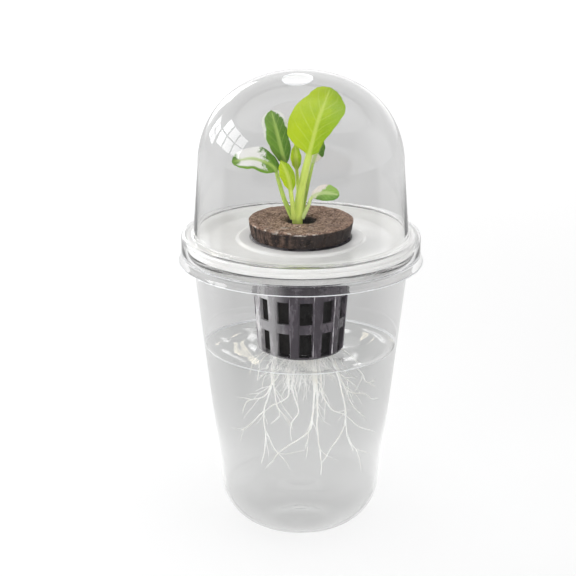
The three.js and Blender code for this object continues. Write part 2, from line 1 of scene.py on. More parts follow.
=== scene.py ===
"""Hydroponic propagation cup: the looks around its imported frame.

Sizes are in millimetres in the frame's own axes, and become metres where a mesh is made.
"""

import logging
import math
import random
from collections.abc import Sequence
from dataclasses import dataclass
from enum import Enum
from typing import Any, NamedTuple

import bpy
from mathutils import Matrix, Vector, noise

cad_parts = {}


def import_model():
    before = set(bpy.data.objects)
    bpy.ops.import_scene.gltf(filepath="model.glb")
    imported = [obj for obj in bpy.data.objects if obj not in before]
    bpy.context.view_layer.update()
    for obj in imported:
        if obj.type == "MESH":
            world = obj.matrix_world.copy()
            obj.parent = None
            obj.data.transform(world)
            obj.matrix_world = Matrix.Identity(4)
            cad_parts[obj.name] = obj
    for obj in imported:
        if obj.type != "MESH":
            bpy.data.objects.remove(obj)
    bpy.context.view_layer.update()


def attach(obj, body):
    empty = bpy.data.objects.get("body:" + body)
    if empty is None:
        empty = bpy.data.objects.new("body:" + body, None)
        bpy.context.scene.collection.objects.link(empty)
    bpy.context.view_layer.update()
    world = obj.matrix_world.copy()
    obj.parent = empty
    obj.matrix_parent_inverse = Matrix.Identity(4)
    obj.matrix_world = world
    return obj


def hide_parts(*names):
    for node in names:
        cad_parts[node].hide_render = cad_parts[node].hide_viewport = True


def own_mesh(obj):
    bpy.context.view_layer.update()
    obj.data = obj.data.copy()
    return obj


LOG = logging.getLogger("propagation_cup")
MM = 0.001

Point = tuple[float, float]
Corner = tuple[float, float, float]
Colour = tuple[float, float, float, float]


class Body(Enum):
    """The moving bodies of the frame that a piece can ride on."""

    CUP = "cup"
    DISC = "disc"
    POT = "pot"
    DOME = "dome"


class Slot(Enum):
    """The material slots of the record."""

    CLEAR = "clear_plastic"
    WHITE = "white_plastic"
    BLACK = "black_plastic"
    PEAT = "grow_plug"
    LIME = "leaf_lime"
    GREEN = "leaf_green"
    ROOTS = "roots"


def linear(red: float, green: float, blue: float) -> Colour:
    """Turns a colour as it looks on a screen into the one that a shader takes.

    Args:
        red: Red from 0 to 255.
        green: Green from 0 to 255.
        blue: Blue from 0 to 255.

    Returns:
        The linear colour with full alpha.
    """
    shares = (red / 255, green / 255, blue / 255)
    bright = tuple(s / 12.92 if s <= 0.04045 else ((s + 0.055) / 1.055) ** 2.4 for s in shares)
    return (*bright, 1.0)


def grey(level: float) -> Colour:
    """A linear grey with full alpha."""
    return (level, level, level, 1.0)


def smoothstep(low: float, high: float, value: float) -> float:
    """A smooth ramp from 0 at low to 1 at high.

    Args:
        low: Where the ramp starts.
        high: Where it ends.
        value: Where it is read.

    Returns:
        The height of the ramp there.
    """
    share = min(1.0, max(0.0, (value - low) / (high - low)))
    return share * share * (3 - 2 * share)


def along_points(pairs: Sequence[Point], share: float) -> float:
    """Reads a smooth line through pairs of share and value.

    Args:
        pairs: Share and value of each point, in rising order.
        share: Where the line is read.

    Returns:
        The value there.
    """
    for (left, low), (right, high) in zip(pairs, pairs[1:]):
        if share <= right:
            step = (share - left) / (right - left)
            return low + (high - low) * (0.5 * step + 0.5 * step * step * (3 - 2 * step))
    return pairs[-1][1]


def smooth_line(points: Sequence[Sequence[float]], share: float) -> Vector:
    """A point of a line that runs smoothly through points.

    Args:
        points: The points.
        share: The place along the line, from 0 to 1.

    Returns:
        The point there.
    """
    count = len(points) - 1
    spot = min(max(share, 0.0), 1.0) * count
    i = min(int(spot), count - 1)
    t = spot - i
    p = [Vector(points[min(max(i + k, 0), count)]) for k in (-1, 0, 1, 2)]
    if i == 0:
        p[0] = p[1] * 2 - p[2]
    if i == count - 1:
        p[3] = p[2] * 2 - p[1]
    bend = (2 * p[0] - 5 * p[1] + 4 * p[2] - p[3]) * t ** 2 + (3 * p[1] - p[0] - 3 * p[2] + p[3]) * t ** 3
    return 0.5 * (2 * p[1] + (p[2] - p[0]) * t + bend)


class Wire:
    """A value on its way between nodes, with arithmetic that adds Math nodes."""

    def __init__(self, graph: "Graph", socket: bpy.types.NodeSocket) -> None:
        """Keeps the tree and the socket that the value leaves from."""
        self.graph = graph
        self.socket = socket

    def other(self, output: str) -> "Wire":
        """Another output of the same node."""
        return Wire(self.graph, self.socket.node.outputs[output])

    def maths(self, operation: str, *values: "Wire | float") -> "Wire":
        """Adds one Math node.

        Args:
            operation: The node's operation.
            values: Its inputs, in order.

        Returns:
            The result.
        """
        return self.graph.node("ShaderNodeMath", {"operation": operation}, dict(enumerate(values)))

    def __add__(self, other: "Wire | float") -> "Wire":
        """This value plus another."""
        return self.maths("ADD", self, other)

    def __radd__(self, other: float) -> "Wire":
        """A number plus this value."""
        return self.maths("ADD", other, self)

    def __sub__(self, other: "Wire | float") -> "Wire":
        """This value less another."""
        return self.maths("SUBTRACT", self, other)

    def __rsub__(self, other: float) -> "Wire":
        """A number less this value."""
        return self.maths("SUBTRACT", other, self)

    def __mul__(self, other: "Wire | float") -> "Wire":
        """This value times another."""
        return self.maths("MULTIPLY", self, other)

    def __rmul__(self, other: float) -> "Wire":
        """A number times this value."""
        return self.maths("MULTIPLY", other, self)

    def __abs__(self) -> "Wire":
        """This value without its sign."""
        return self.maths("ABSOLUTE", self)

    def __or__(self, other: "Wire | float") -> "Wire":
        """The larger of this value and another, so that two masks join."""
        return self.maths("MAXIMUM", self, other)

    def __lt__(self, other: "Wire | float") -> "Wire":
        """A mask of where this value is under another."""
        return self.maths("LESS_THAN", self, other)

    def cosine(self) -> "Wire":
        """The cosine of this value."""
        return self.maths("COSINE", self)

    def between(self, low: float, high: float) -> "Wire":
        """A smooth mask from 0 where this value is low to 1 where it is high.

        Args:
            low: The value that gives 0.
            high: The value that gives 1, which may be the smaller one.

        Returns:
            The mask.
        """
        settings = {"interpolation_type": "SMOOTHSTEP"}
        sockets = {"Value": self, "From Min": low, "From Max": high}
        return self.graph.node("ShaderNodeMapRange", settings, sockets)


class Graph:
    """The nodes of one finish, of the floor or of the world."""

    def __init__(self, owner: bpy.types.Material | bpy.types.World) -> None:
        """Clears the owner's nodes and starts afresh."""
        owner.use_nodes = True
        self.owner = owner
        self.tree = owner.node_tree
        self.tree.nodes.clear()

    def node(self, kind: str, settings: dict[str, Any] | None = None,
             sockets: dict[str | int, Any] | None = None, output: str | int = 0) -> Wire:
        """Adds any node.

        Args:
            kind: The node's type.
            settings: Its own settings, set first.
            sockets: Values or wires for its inputs, by name or number.
            output: Which of its outputs is wanted.

        Returns:
            That output.
        """
        made = self.tree.nodes.new(kind)
        for name, value in (settings or {}).items():
            setattr(made, name, value)
        for name, value in (sockets or {}).items():
            if isinstance(value, Wire):
                self.tree.links.new(value.socket, made.inputs[name])
            else:
                made.inputs[name].default_value = value
        return Wire(self, made.outputs[output])

    def ramp(self, value: Wire, *stops: tuple[float, Colour]) -> Wire:
        """A colour that runs through stops.

        Args:
            value: The place on the ramp.
            stops: Place and colour of each stop, in rising order.

        Returns:
            The colour.
        """
        colour = self.node("ShaderNodeValToRGB", {}, {0: value})
        elements = colour.socket.node.color_ramp.elements
        while len(elements) < len(stops):
            elements.new(1.0)
        for element, (place, tone) in zip(elements, stops):
            element.position = place
            element.color = tone
        return colour

    def place(self) -> Wire:
        """Where a point is on the object at rest, in metres."""
        return self.node("ShaderNodeTexCoord", output="Object")

    def parts(self, vector: Wire) -> tuple[Wire, Wire, Wire]:
        """The three parts of a vector."""
        first = self.node("ShaderNodeSeparateXYZ", {}, {0: vector})
        return first, first.other("Y"), first.other("Z")

    def length(self, vector: Wire) -> Wire:
        """The length of a vector."""
        return self.node("ShaderNodeVectorMath", {"operation": "LENGTH"}, {0: vector}, "Value")

    def stretched(self, vector: Wire, scale: Corner) -> Wire:
        """A vector with each part times a number."""
        return self.node("ShaderNodeVectorMath", {"operation": "MULTIPLY"}, {0: vector, 1: scale})

    def noise(self, vector: Wire, size: float, detail: float = 3.0, rough: float = 0.55) -> Wire:
        """Soft cloudy noise.

        Args:
            vector: Where it is read, in metres.
            size: Size of its patches in millimetres.
            detail: How many finer layers it has.
            rough: How strong the finer layers are.

        Returns:
            The noise, about 0.5 on average.
        """
        sockets = {"Vector": vector, "Scale": 1 / (size * MM), "Detail": detail, "Roughness": rough}
        return self.node("ShaderNodeTexNoise", {"noise_dimensions": "3D"}, sockets)

    def cells(self, vector: Wire, size: float) -> Wire:
        """Distance to the borders of a net of cells of a size in millimetres."""
        settings = {"feature": "DISTANCE_TO_EDGE"}
        return self.node("ShaderNodeTexVoronoi", settings, {"Vector": vector, "Scale": 1 / (size * MM)})

    def mix(self, mask: Wire | float, first: Wire | Colour, second: Wire | Colour) -> Wire:
        """A colour that goes from the first to the second as the mask goes from 0 to 1."""
        return self.node("ShaderNodeMix", {"data_type": "RGBA"}, {0: mask, 6: first, 7: second}, 2)

    def bump(self, height: Wire, depth: float, strength: float = 1.0) -> Wire:
        """A normal that follows a height.

        Args:
            height: The height, from 0 to 1.
            depth: What a height of 1 stands for, in millimetres.
            strength: How much of it is shown.

        Returns:
            The normal.
        """
        sockets = {"Height": height, "Distance": depth * MM, "Strength": strength}
        return self.node("ShaderNodeBump", {}, sockets)

    def principled(self, **sockets: Any) -> Wire:
        """A Principled shader, with underscores for the spaces in its sockets' names."""
        named = {name.replace("_", " "): value for name, value in sockets.items()}
        return self.node("ShaderNodeBsdfPrincipled", {}, named)

    def see_through(self, shader: Wire, tint: float) -> Wire:
        """Lets light fall through a clear shader, so that what is behind it isn't in its shadow.

        Args:
            shader: The clear shader.
            tint: How much of the light passes.

        Returns:
            The shader with that way for light.
        """
        straight = self.node("ShaderNodeBsdfTransparent", {}, {"Color": grey(tint)})
        shadow = self.node("ShaderNodeLightPath", output="Is Shadow Ray")
        return self.node("ShaderNodeMixShader", {}, {0: shadow, 1: shader, 2: straight})

    def finish(self, shader: Wire, kind: str = "ShaderNodeOutputMaterial") -> bpy.types.ID:
        """Links a shader to an output node of a kind, and gives the finished owner."""
        end = self.tree.nodes.new(kind)
        self.tree.links.new(shader.socket, end.inputs["Surface"])
        return self.owner


@dataclass(frozen=True)
class Finish:
    """A finish with its own shader."""

    name: str

    def shader(self, graph: Graph, place: Wire) -> Wire:
        """Makes the shader, each finish in its own way.

        Args:
            graph: The graph it belongs to.
            place: Where a point is on the object at rest, in metres.

        Returns:
            The shader.
        """
        raise NotImplementedError

    def material(self) -> bpy.types.Material:
        """Makes the material."""
        graph = Graph(bpy.data.materials.new(self.name))
        return graph.finish(self.shader(graph, graph.place()))


@dataclass(frozen=True)
class ClearPlastic(Finish):
    """Clear formed sheet: a little grey in each wall, faint waviness and smudges."""

    tint: float = 0.92
    passing: float = 0.985
    waviness: float = 0.05

    def shader(self, graph: Graph, place: Wire) -> Wire:
        """Makes the shader."""
        smudges = graph.noise(place, 16, 4).between(0.5, 0.75)
        wave = graph.noise(place, 21, 1)
        sheet = graph.principled(
            Base_Color=grey(self.tint), Roughness=0.008 + 0.03 * smudges, IOR=1.5, Transmission_Weight=1.0,
            Normal=graph.bump(wave, self.waviness))
        return graph.see_through(sheet, self.passing)


@dataclass(frozen=True)
class PaintedGlowEdge(Finish):
    """Thin bright edge with a painted glow: a punched one of clear sheet, whitish as a cut edge is, or the
    one where water climbs a wall, whose white is a painted highlight.
    """

    name: str = "edge_painted_glow"
    # How strong the painted glow is.
    glow: float = 0.12

    def shader(self, graph: Graph, place: Wire) -> Wire:
        """Makes the shader. Its glow is painted light: the edge shines though it is no lamp."""
        chatter = graph.noise(place, 0.6, 3)
        colour = graph.mix(chatter.between(0.35, 0.7), linear(236, 238, 240), linear(250, 251, 252))
        # Painted glow: the emission makes the edge shine though it is no lamp.
        return graph.principled(
            Base_Color=colour, Roughness=0.45 + 0.2 * chatter, IOR=1.5, Normal=graph.bump(chatter, 0.04),
            Emission_Color=colour, Emission_Strength=self.glow)


@dataclass(frozen=True)
class WhitePlastic(Finish):
    """White moulded plastic with a soft gloss and fine moulding grain."""

    name: str = "white_plastic"

    def shader(self, graph: Graph, place: Wire) -> Wire:
        """Makes the shader."""
        cloud = graph.noise(place, 24, 3)
        grain = graph.noise(place, 0.5, 2)
        colour = graph.mix(cloud.between(0.35, 0.7), linear(237, 236, 234), linear(246, 246, 245))
        return graph.principled(
            Base_Color=colour, Roughness=0.15 + 0.1 * cloud, IOR=1.49, Normal=graph.bump(grain, 0.012, 0.5))


@dataclass(frozen=True)
class BlackPlastic(Finish):
    """Black moulded plastic, glossy, with a film of dried water on it and a painted highlight down its left
    front.
    """

    name: str = "black_plastic"

    def shader(self, graph: Graph, place: Wire) -> Wire:
        """Makes the shader."""
        across, depth, _ = graph.parts(place)
        film = graph.noise(graph.stretched(place, (1, 1, 0.4)), 6, 5, 0.6).between(0.44, 0.72)
        grain = graph.noise(place, 0.35, 2)
        # Painted highlight: a whitish glare on the left front of the pot.
        painted_glare = across.between(-0.005, -0.013) * depth.between(0.008, 0.0) * (0.4 + 0.6 * film)
        colour = graph.mix(0.5 * film, linear(72, 67, 73), linear(132, 124, 133))
        colour = graph.mix(0.95 * painted_glare, colour, linear(236, 235, 236))
        return graph.principled(
            Base_Color=colour, Roughness=0.2 + 0.22 * film, IOR=1.5, Normal=graph.bump(grain, 0.01, 0.5))


@dataclass(frozen=True)
class RibEdgeHighlight(Finish):
    """Black plastic on the edge of a rib, with a painted highlight along it in streaks."""

    name: str = "rib_edge_painted_highlight"

    def shader(self, graph: Graph, place: Wire) -> Wire:
        """Makes the shader."""
        highlight_streaks = graph.noise(graph.stretched(place, (1, 1, 0.3)), 2.2, 3)
        # Painted highlight: pale streaks along the rib's edge.
        colour = graph.mix(highlight_streaks.between(0.35, 0.6), linear(96, 91, 98), linear(214, 210, 214))
        return graph.principled(
            Base_Color=colour, Roughness=0.12 + 0.2 * highlight_streaks, IOR=1.4, Normal=graph.bump(highlight_streaks, 0.05))


@dataclass(frozen=True)
class Peat(Finish):
    """Damp pressed peat: clumps and fibres, painted shade, and pale flecks of painted highlight along the
    upper edge.
    """

    name: str = "damp_peat"
    top: float = 139.5

    def shader(self, graph: Graph, place: Wire) -> Wire:
        """Makes the shader."""
        across, depth, height = graph.parts(place)
        clump = graph.noise(place, 4.2, 7, 0.72)
        crumb = graph.noise(place, 0.8, 4, 0.65)
        streak = graph.noise(graph.stretched(place, (1, 1, 0.14)), 1.7, 3)
        fibre = graph.noise(graph.stretched(place, (0.22, 1, 1)), 0.7, 2).between(0.62, 0.7)
        # The side is much darker than the top.
        on_top = height.between((self.top - 1.5) * MM, (self.top - 0.7) * MM)
        upper = graph.ramp(
            0.35 * clump + 0.65 * crumb,
            (0.4, linear(70, 52, 43)), (0.5, linear(145, 117, 101)), (0.6, linear(200, 172, 152)))
        lower = graph.ramp(
            0.45 * streak + 0.3 * clump + 0.25 * crumb,
            (0.4, linear(18, 14, 13)), (0.5, linear(64, 50, 44)), (0.6, linear(126, 101, 87)))
        # Painted shade: darker towards the right and front-right side, with a faint coat.
        painted_light = (across - depth * 0.5).between(-0.004, 0.016) * streak.between(0.3, 0.6)
        lower = graph.mix(0.9 * painted_light, lower, linear(27, 22, 23))
        # Painted shade: near black where the peat lies inside the pot.
        in_pot = height.between(0.1315, 0.1295)
        lower = graph.mix(0.95 * in_pot, lower, linear(15, 14, 14))
        colour = graph.mix(on_top, lower, upper)
        colour = graph.mix(0.4 * fibre * (1 - in_pot), colour, linear(160, 132, 106))
        # Painted shade: near black in the dimple and the hole.
        reach = graph.length(graph.stretched(place, (1, 1, 0)))
        dimple = (reach + 0.002 * clump).between(0.0074, 0.0062)
        colour = graph.mix(0.92 * dimple, colour, linear(17, 13, 12))
        # Painted highlight: pale glinting flecks along the upper front edge, with a coat.
        band = height.between((self.top - 1.9) * MM, (self.top - 1.2) * MM)
        band = band * height.between((self.top - 0.25) * MM, (self.top - 0.8) * MM)
        front = depth.between(-0.004, -0.016) * across.between(0.014, -0.002)
        fleck = graph.noise(graph.stretched(place, (0.5, 0.5, 1.6)), 1.5, 3).between(0.54, 0.62)
        painted_glint = band * front * fleck
        colour = graph.mix(0.85 * painted_glint, colour, linear(244, 236, 226))
        return graph.principled(
            Base_Color=colour, Roughness=0.9 - 0.35 * painted_glint - 0.15 * painted_light,
            Coat_Weight=0.6 * painted_glint | 0.12 * painted_light, Coat_Roughness=0.2,
            Normal=graph.bump(0.5 * crumb + 0.3 * clump + 0.2 * fibre, 1.1))


@dataclass(frozen=True)
class LeafFinish(Finish):
    """Leaf skin: two greens, a pale midrib, side veins, and pale patches and a pale margin that are painted
    glare on the upright and left leaves.
    """

    light: Colour
    dark: Colour
    vein: Colour
    stalk: Colour
    # The whitish colour of the painted glare, unless a leaf gives its own.
    pale: Colour = linear(234, 233, 230)
    pale_line: Corner = (0.0, 0.0, -1.0)
    pale_spread: float = 0.12
    speckle: float = 0.5
    painted_glare_margin: float = 0.0
    tip: float = 2.0
    hem: float = -2.0
    pairs: float = 6.0

    def shader(self, graph: Graph, place: Wire) -> Wire:
        """Makes the shader."""
        leaf = graph.node("ShaderNodeAttribute", {"attribute_name": "leaf_place"}, output="Vector")
        side, along, half = graph.parts(leaf)
        cloud = graph.noise(place, 4.5, 4, 0.6)
        fine = graph.noise(place, 0.7, 3)
        cell = graph.cells(place, 1.1).between(0.0, 0.09)
        blade = along.between(-0.02, 0.05)
        # Painted shade: one half of each blade, and one side of the stem, darker than the other.
        tone = (0.5 - 0.34 * side) + 0.9 * (cloud - 0.5) + 0.25 * (fine - 0.5)
        colour = graph.mix(tone.between(0.1, 0.9), self.dark, self.light)
        colour = graph.mix(0.16 * (1 - cell) * blade, colour, self.vein)
        wave = (math.tau * (self.pairs * along - 2.1 * abs(side) + 0.3 * (cloud - 0.5))).cosine()
        ribs = wave.between(0.86, 1.0) * blade * abs(side).between(1.0, 0.5)
        colour = graph.mix(0.32 * ribs, colour, self.vein)
        # Pale patches and the pale margin: painted glare on the upright and left leaves.
        across, up, tilt = self.pale_line
        speckle = self.speckle * (cloud - 0.5) + 0.6 * self.speckle * (fine - 0.5)
        patch = across * side + up * along + speckle + tilt
        patch = patch.between(0.0, self.pale_spread) * blade
        patch = patch * (along + 0.5 * (cloud - 0.5)).between(self.tip + 0.05, self.tip - 0.05)
        patch = patch * (side + 0.3 * (cloud - 0.5)).between(self.hem, self.hem + 0.2)
        ragged = abs(side) + 0.5 * (cloud - 0.5) + 0.5 * along
        patch = patch | self.painted_glare_margin * ragged.between(1.1, 1.2)
        colour = graph.mix(patch, colour, self.pale)
        distance = abs(side) * half
        midrib = distance.between(1.25, 0.3) * (along * -1.0).between(-1.0, -0.55)
        midrib = midrib | distance.between(0.5, 0.1) * along.between(1.0, 0.9)
        colour = graph.mix(0.75 * midrib * blade, colour, self.vein)
        stalk = graph.mix(fine.between(0.35, 0.7), self.stalk, self.vein)
        colour = graph.mix(blade, stalk, colour)
        height = 0.5 * ribs + 0.3 * cell + 0.3 * cloud
        return graph.principled(
            Base_Color=colour, Roughness=0.36 + 0.2 * fine, IOR=1.42, Normal=graph.bump(height, 0.14))


@dataclass(frozen=True)
class RootFinish(Finish):
    """Living white root: pale cream with faint darker stretches."""

    name: str = "white_root"

    def shader(self, graph: Graph, place: Wire) -> Wire:
        """Makes the shader."""
        cloud = graph.noise(place, 6, 3)
        hairs = graph.noise(place, 0.4, 2)
        colour = graph.mix(cloud.between(0.4, 0.75), linear(255, 255, 253), linear(249, 247, 240))
        return graph.principled(
            Base_Color=colour, Roughness=0.4 + 0.2 * hairs, IOR=1.4, Normal=graph.bump(hairs, 0.05))


@dataclass(frozen=True)
class WaterFinish(Finish):
    """Still water: almost no colour, with a mirroring upper face."""

    name: str = "still_water"
    level: float = 83.5
    passing: float = 0.98

    def shader(self, graph: Graph, place: Wire) -> Wire:
        """Makes the shader."""
        height = graph.parts(place)[2]
        surface = height.between((self.level - 1.0) * MM, (self.level - 0.7) * MM)
        water = graph.principled(
            Base_Color=(0.985, 0.99, 0.985, 1.0), Roughness=0.0, IOR=1.03, Transmission_Weight=1.0,
            Coat_Weight=surface, Coat_IOR=1.4, Coat_Roughness=0.0)
        return graph.see_through(water, self.passing)


class Shell:
    """Points and faces gathered in millimetres until they become one object."""

    def __init__(self) -> None:
        """Starts with nothing."""
        self.points: list[Vector] = []
        self.faces: list[tuple[int, ...]] = []
        self.marks: list[Corner] = []

    def add(self, points: Sequence[Vector], faces: Sequence[Sequence[int]]) -> None:
        """Adds points, and faces that count from the first of them.

        Args:
            points: The points.
            faces: The faces.
        """
        start = len(self.points)
        self.points.extend(points)
        self.faces.extend(tuple(start + i for i in face) for face in faces)

    @staticmethod
    def circle(radius: float, height: float, steps: int) -> list[Vector]:
        """Points round Z at a radius and a height, or the one point on Z where the radius is nothing."""
        if radius < 1e-6:
            return [Vector((0, 0, height))]
        turns = [math.tau * i / steps for i in range(steps)]
        return [Vector((radius * math.cos(turn), radius * math.sin(turn), height)) for turn in turns]

    def loft(self, rings: Sequence[Sequence[Vector]], closed: bool = False) -> None:
        """Adds a skin through rings of points.

        Args:
            rings: The rings, all of as many points or of a single one.
            closed: Whether the last ring joins the first. If not, each end gets a flat face.
        """
        points = [point for ring in rings for point in ring]
        steps = max(len(ring) for ring in rings)
        numbers: list[list[int]] = []
        first = 0
        for ring in rings:
            numbers.append([first + i % len(ring) for i in range(steps)])
            first += len(ring)
        faces: list[list[int]] = []
        for low, high in zip(numbers, numbers[1:] + numbers[:int(closed)]):
            for i in range(steps):
                j = (i + 1) % steps
                face = list(dict.fromkeys((low[i], low[j], high[j], high[i])))
                if len(face) > 2:
                    faces.append(face)
        if not closed:
            faces += [numbers[0][::-1], numbers[-1]]
        self.add(points, faces)

    def revolve(self, outline: Sequence[Point], steps: int) -> None:
        """Adds a closed outline revolved about Z.

        Args:
            outline: Radius and height of its points.
            steps: Facets round a turn.
        """
        self.loft([self.circle(radius, height, steps) for radius, height in outline], True)

    def tube(self, path: Sequence[Vector], radii: Sequence[float], sides: int) -> None:
        """Adds a round strand along a path.

        Args:
            path: Points of its middle.
            radii: Its radius at each.
            sides: Facets round it.
        """
        rings = []
        across = (path[1] - path[0]).orthogonal().normalized()
        for i, point in enumerate(path):
            along = (path[min(i + 1, len(path) - 1)] - path[max(i - 1, 0)]).normalized()
            across = (across - along * across.dot(along)).normalized()
            up = along.cross(across)
            turns = [math.tau * k / sides for k in range(sides)]
            rings.append([point + (across * math.cos(t) + up * math.sin(t)) * radii[i] for t in turns])
        self.loft(rings)

    def to_object(self, name: str, crease: float = 32.0) -> bpy.types.Object:
        """Makes the object.

        Args:
            name: Its name.
            crease: Angle in degrees from which an edge stays sharp.

        Returns:
            The object, with smooth faces that look outwards.
        """
        mesh = bpy.data.meshes.new(name)
        mesh.from_pydata([point * MM for point in self.points], [], self.faces)
        if self.marks:
            layer = mesh.attributes.new("leaf_place", "FLOAT_VECTOR", "POINT")
            layer.data.foreach_set("vector", [value for mark in self.marks for value in mark])
        mesh.validate()
        if self.volume() < 0:
            mesh.flip_normals()
        mesh.shade_smooth()
        mesh.set_sharp_from_angle(angle=math.radians(crease))
        piece = bpy.data.objects.new(name, mesh)
        bpy.context.scene.collection.objects.link(piece)
        return piece

    def volume(self) -> float:
        """Six times the volume inside the faces, negative where they look inwards."""
        total = 0.0
        for face in self.faces:
            first = self.points[face[0]]
            for i, j in zip(face[1:], face[2:]):
                total += first.dot(self.points[i].cross(self.points[j]))
        return total


def rounded(corners: Sequence[Corner], steps: int = 4) -> list[Point]:
    """Rounds the corners of a closed outline.

    Args:
        corners: Radius, height and rounding of each corner.
        steps: Divisions of each rounding.

    Returns:
        Radius and height of the points.
    """
    points: list[Point] = []
    for i, (radius, height, off) in enumerate(corners):
        here = Vector((radius, height))
        if off <= 0:
            points.append((radius, height))
            continue
        before = Vector(corners[i - 1][:2]) - here
        after = Vector(corners[(i + 1) % len(corners)][:2]) - here
        reach = min(off, 0.48 * before.length, 0.48 * after.length)
        start, end = here + before.normalized() * reach, here + after.normalized() * reach
        for k in range(steps + 1):
            s = k / steps
            points.append(tuple(start * (1 - s) ** 2 + here * (2 * s * (1 - s)) + end * s ** 2))
    return points


def arc(middle: Point, radius: float, start: float, end: float, steps: int) -> list[Corner]:
    """Points on an arc as plain corners.

    Args:
        middle: The arc's middle.
        radius: Its radius.
        start: Its first angle in radians.
        end: Its last angle.
        steps: Its divisions.

    Returns:
        The corners, without rounding.
    """
    turns = [start + (end - start) * i / steps for i in range(steps + 1)]
    return [(middle[0] + radius * math.cos(t), middle[1] + radius * math.sin(t), 0.0) for t in turns]


def spaced(outline: Sequence[Point], gap: float) -> list[Point]:
    """Divides the runs of a closed outline so that no run is longer than a gap.

    Args:
        outline: Radius and height of its points.
        gap: The longest run allowed.

    Returns:
        The points with those added.
    """
    points: list[Point] = []
    for (r0, z0), (r1, z1) in zip(outline, [*outline[1:], outline[0]]):
        if r0 < 1e-6 and r1 < 1e-6:
            points.append((r0, z0))
            continue
        count = max(1, math.ceil(math.hypot(r1 - r0, z1 - z0) / gap))
        points += [(r0 + (r1 - r0) * k / count, z0 + (z1 - z0) * k / count) for k in range(count)]
    return points


def settle(piece: bpy.types.Object, body: Body, slot: Slot, finish: bpy.types.Material,
           *nodes: str) -> None:
    """Dresses a piece and lets it ride.

    Args:
        piece: The piece.
        body: The body it rides on.
        slot: The record's slot of its finish; not used.
        finish: Its material.
        nodes: The frame's nodes that it stands for.
    """
    piece.data.materials.append(finish)
    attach(piece, body.value)
    if nodes:
        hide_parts(*nodes)
    LOG.info("%s rides on %s with %d faces", piece.name, body.value, len(piece.data.polygons))


@dataclass
class Cup:
    """Clear tapered cup with a standing ring, a large corner and a rolled rim."""

    height: float = 128.0
    foot: float = 14.0
    foot_width: float = 2.6
    punt: float = 1.4
    punt_share: float = 0.3
    punt_round: float = 10.0
    foot_round: float = 6.0
    corner: float = 21.0
    corner_steps: int = 18
    taper: float = 0.112
    wall: float = 0.8
    overhang: float = 1.95
    bead: float = 1.8
    steps: int = 160

    @property
    def lean(self) -> float:
        """Angle of the wall from upright, in radians."""
        return math.atan(self.taper)

    def radius(self, height: float) -> float:
        """Outer radius of the wall at a height."""
        return self.foot + self.corner / math.cos(self.lean) + self.taper * (height - self.corner)

    @property
    def rim(self) -> float:
        """Outer radius of the rolled rim."""
        return self.radius(self.height) + self.overhang

    def bottom(self, depth: float) -> list[Corner]:
        """The base and the large corner round it.

        Args:
            depth: How far inside the outer face the line runs.

        Returns:
            The line's corners, from the middle outwards.
        """
        reach = self.foot - self.foot_width
        level = self.punt + depth
        line: list[Corner] = [
            (0, level, 0),
            (reach * self.punt_share, level, self.punt_round),
            (reach, depth, self.foot_round),
        ]
        middle = (self.foot, self.corner)
        return line + arc(middle, self.corner - depth, -math.pi / 2, -self.lean, self.corner_steps)

    def inside(self, gap: float, top: float) -> list[Corner]:
        """The inner face from the middle of the base up to a height.

        Args:
            gap: How far inside that face the line runs.
            top: The height where it ends.

        Returns:
            The line's corners.
        """
        depth = self.wall + gap
        return [*self.bottom(depth), (self.radius(top) - depth / math.cos(self.lean), top, 0)]

    def build(self, finish: bpy.types.Material) -> None:
        """Makes and dresses the cup."""
        middle = self.rim - self.bead
        under = self.height - 2 * self.bead
        mouth = self.radius(self.height) - self.wall / math.cos(self.lean)
        line = self.bottom(0.0)
        line.append((self.radius(under), under, 0.5))
        line += arc((middle, self.height - self.bead), self.bead, -math.pi / 2, math.pi / 2, 12)
        line.append((mouth, self.height, 0.6))
        line += self.inside(0.0, self.height - 3)[::-1]
        shell = Shell()
        shell.revolve(rounded(line), self.steps)
        settle(shell.to_object("clear_cup"), Body.CUP, Slot.CLEAR, finish, "cup")


@dataclass
class Water:
    """Water in the cup, with a rise where it meets the wall and slow swells on its upper face."""

    cup: Cup
    level: float = 83.5
    gap: float = 0.1
    rise: float = 1.1
    rise_reach: float = 4.2
    rise_steps: int = 8
    rings: int = 52
    swell: float = 1.6
    swell_size: float = 17.0
    wave: float = 0.8
    wave_length: float = 19.0
    steps: int = 240

    def build(self, finish: bpy.types.Material, bright: bpy.types.Material) -> None:
        """Makes and dresses the water.

        Args:
            finish: The water's material.
            bright: The material of the thin bright line along its edge, a painted highlight.
        """
        line = self.cup.inside(self.gap, self.level + self.rise)
        edge = line[-1][0]
        calm = edge - self.rise_reach
        for k in range(1, self.rise_steps + 1):
            share = k / self.rise_steps
            height = self.level + self.rise * (1 - share) ** 2.6
            line.append((edge - self.rise_reach * share ** 1.6, height, 0))
        line += [(calm * (1 - k / self.rings), self.level, 0) for k in range(1, self.rings + 1)]
        shell = Shell()
        shell.revolve(rounded(line), self.steps)
        for point in shell.points:
            reach = math.hypot(point.x, point.y)
            if point.z > self.level - 0.01 and reach < calm:
                spot = Vector((point.x, point.y, 5.0)) / self.swell_size
                turn = math.tau * (abs(point.x) - 0.35 * point.y) / self.wave_length
                turn += 4 * noise.noise(spot * 0.7)
                aside = self.wave * math.sin(turn) * smoothstep(15, 24, abs(point.x))
                point.z += (self.swell * noise.noise(spot) + aside) * smoothstep(calm, calm - 4, reach)
        water = shell.to_object("water", 40)
        settle(water, Body.CUP, Slot.CLEAR, finish)
        water.data.materials.append(bright)
        # Painted highlight: the faces of the rise at the wall get the white, glowing waterline finish.
        for face in water.data.polygons:
            painted_highlight_ring = math.hypot(face.center.x, face.center.y) / MM > calm + 2.5
            face.material_index = int(painted_highlight_ring and face.center.z / MM > self.level + 0.3 * self.rise)


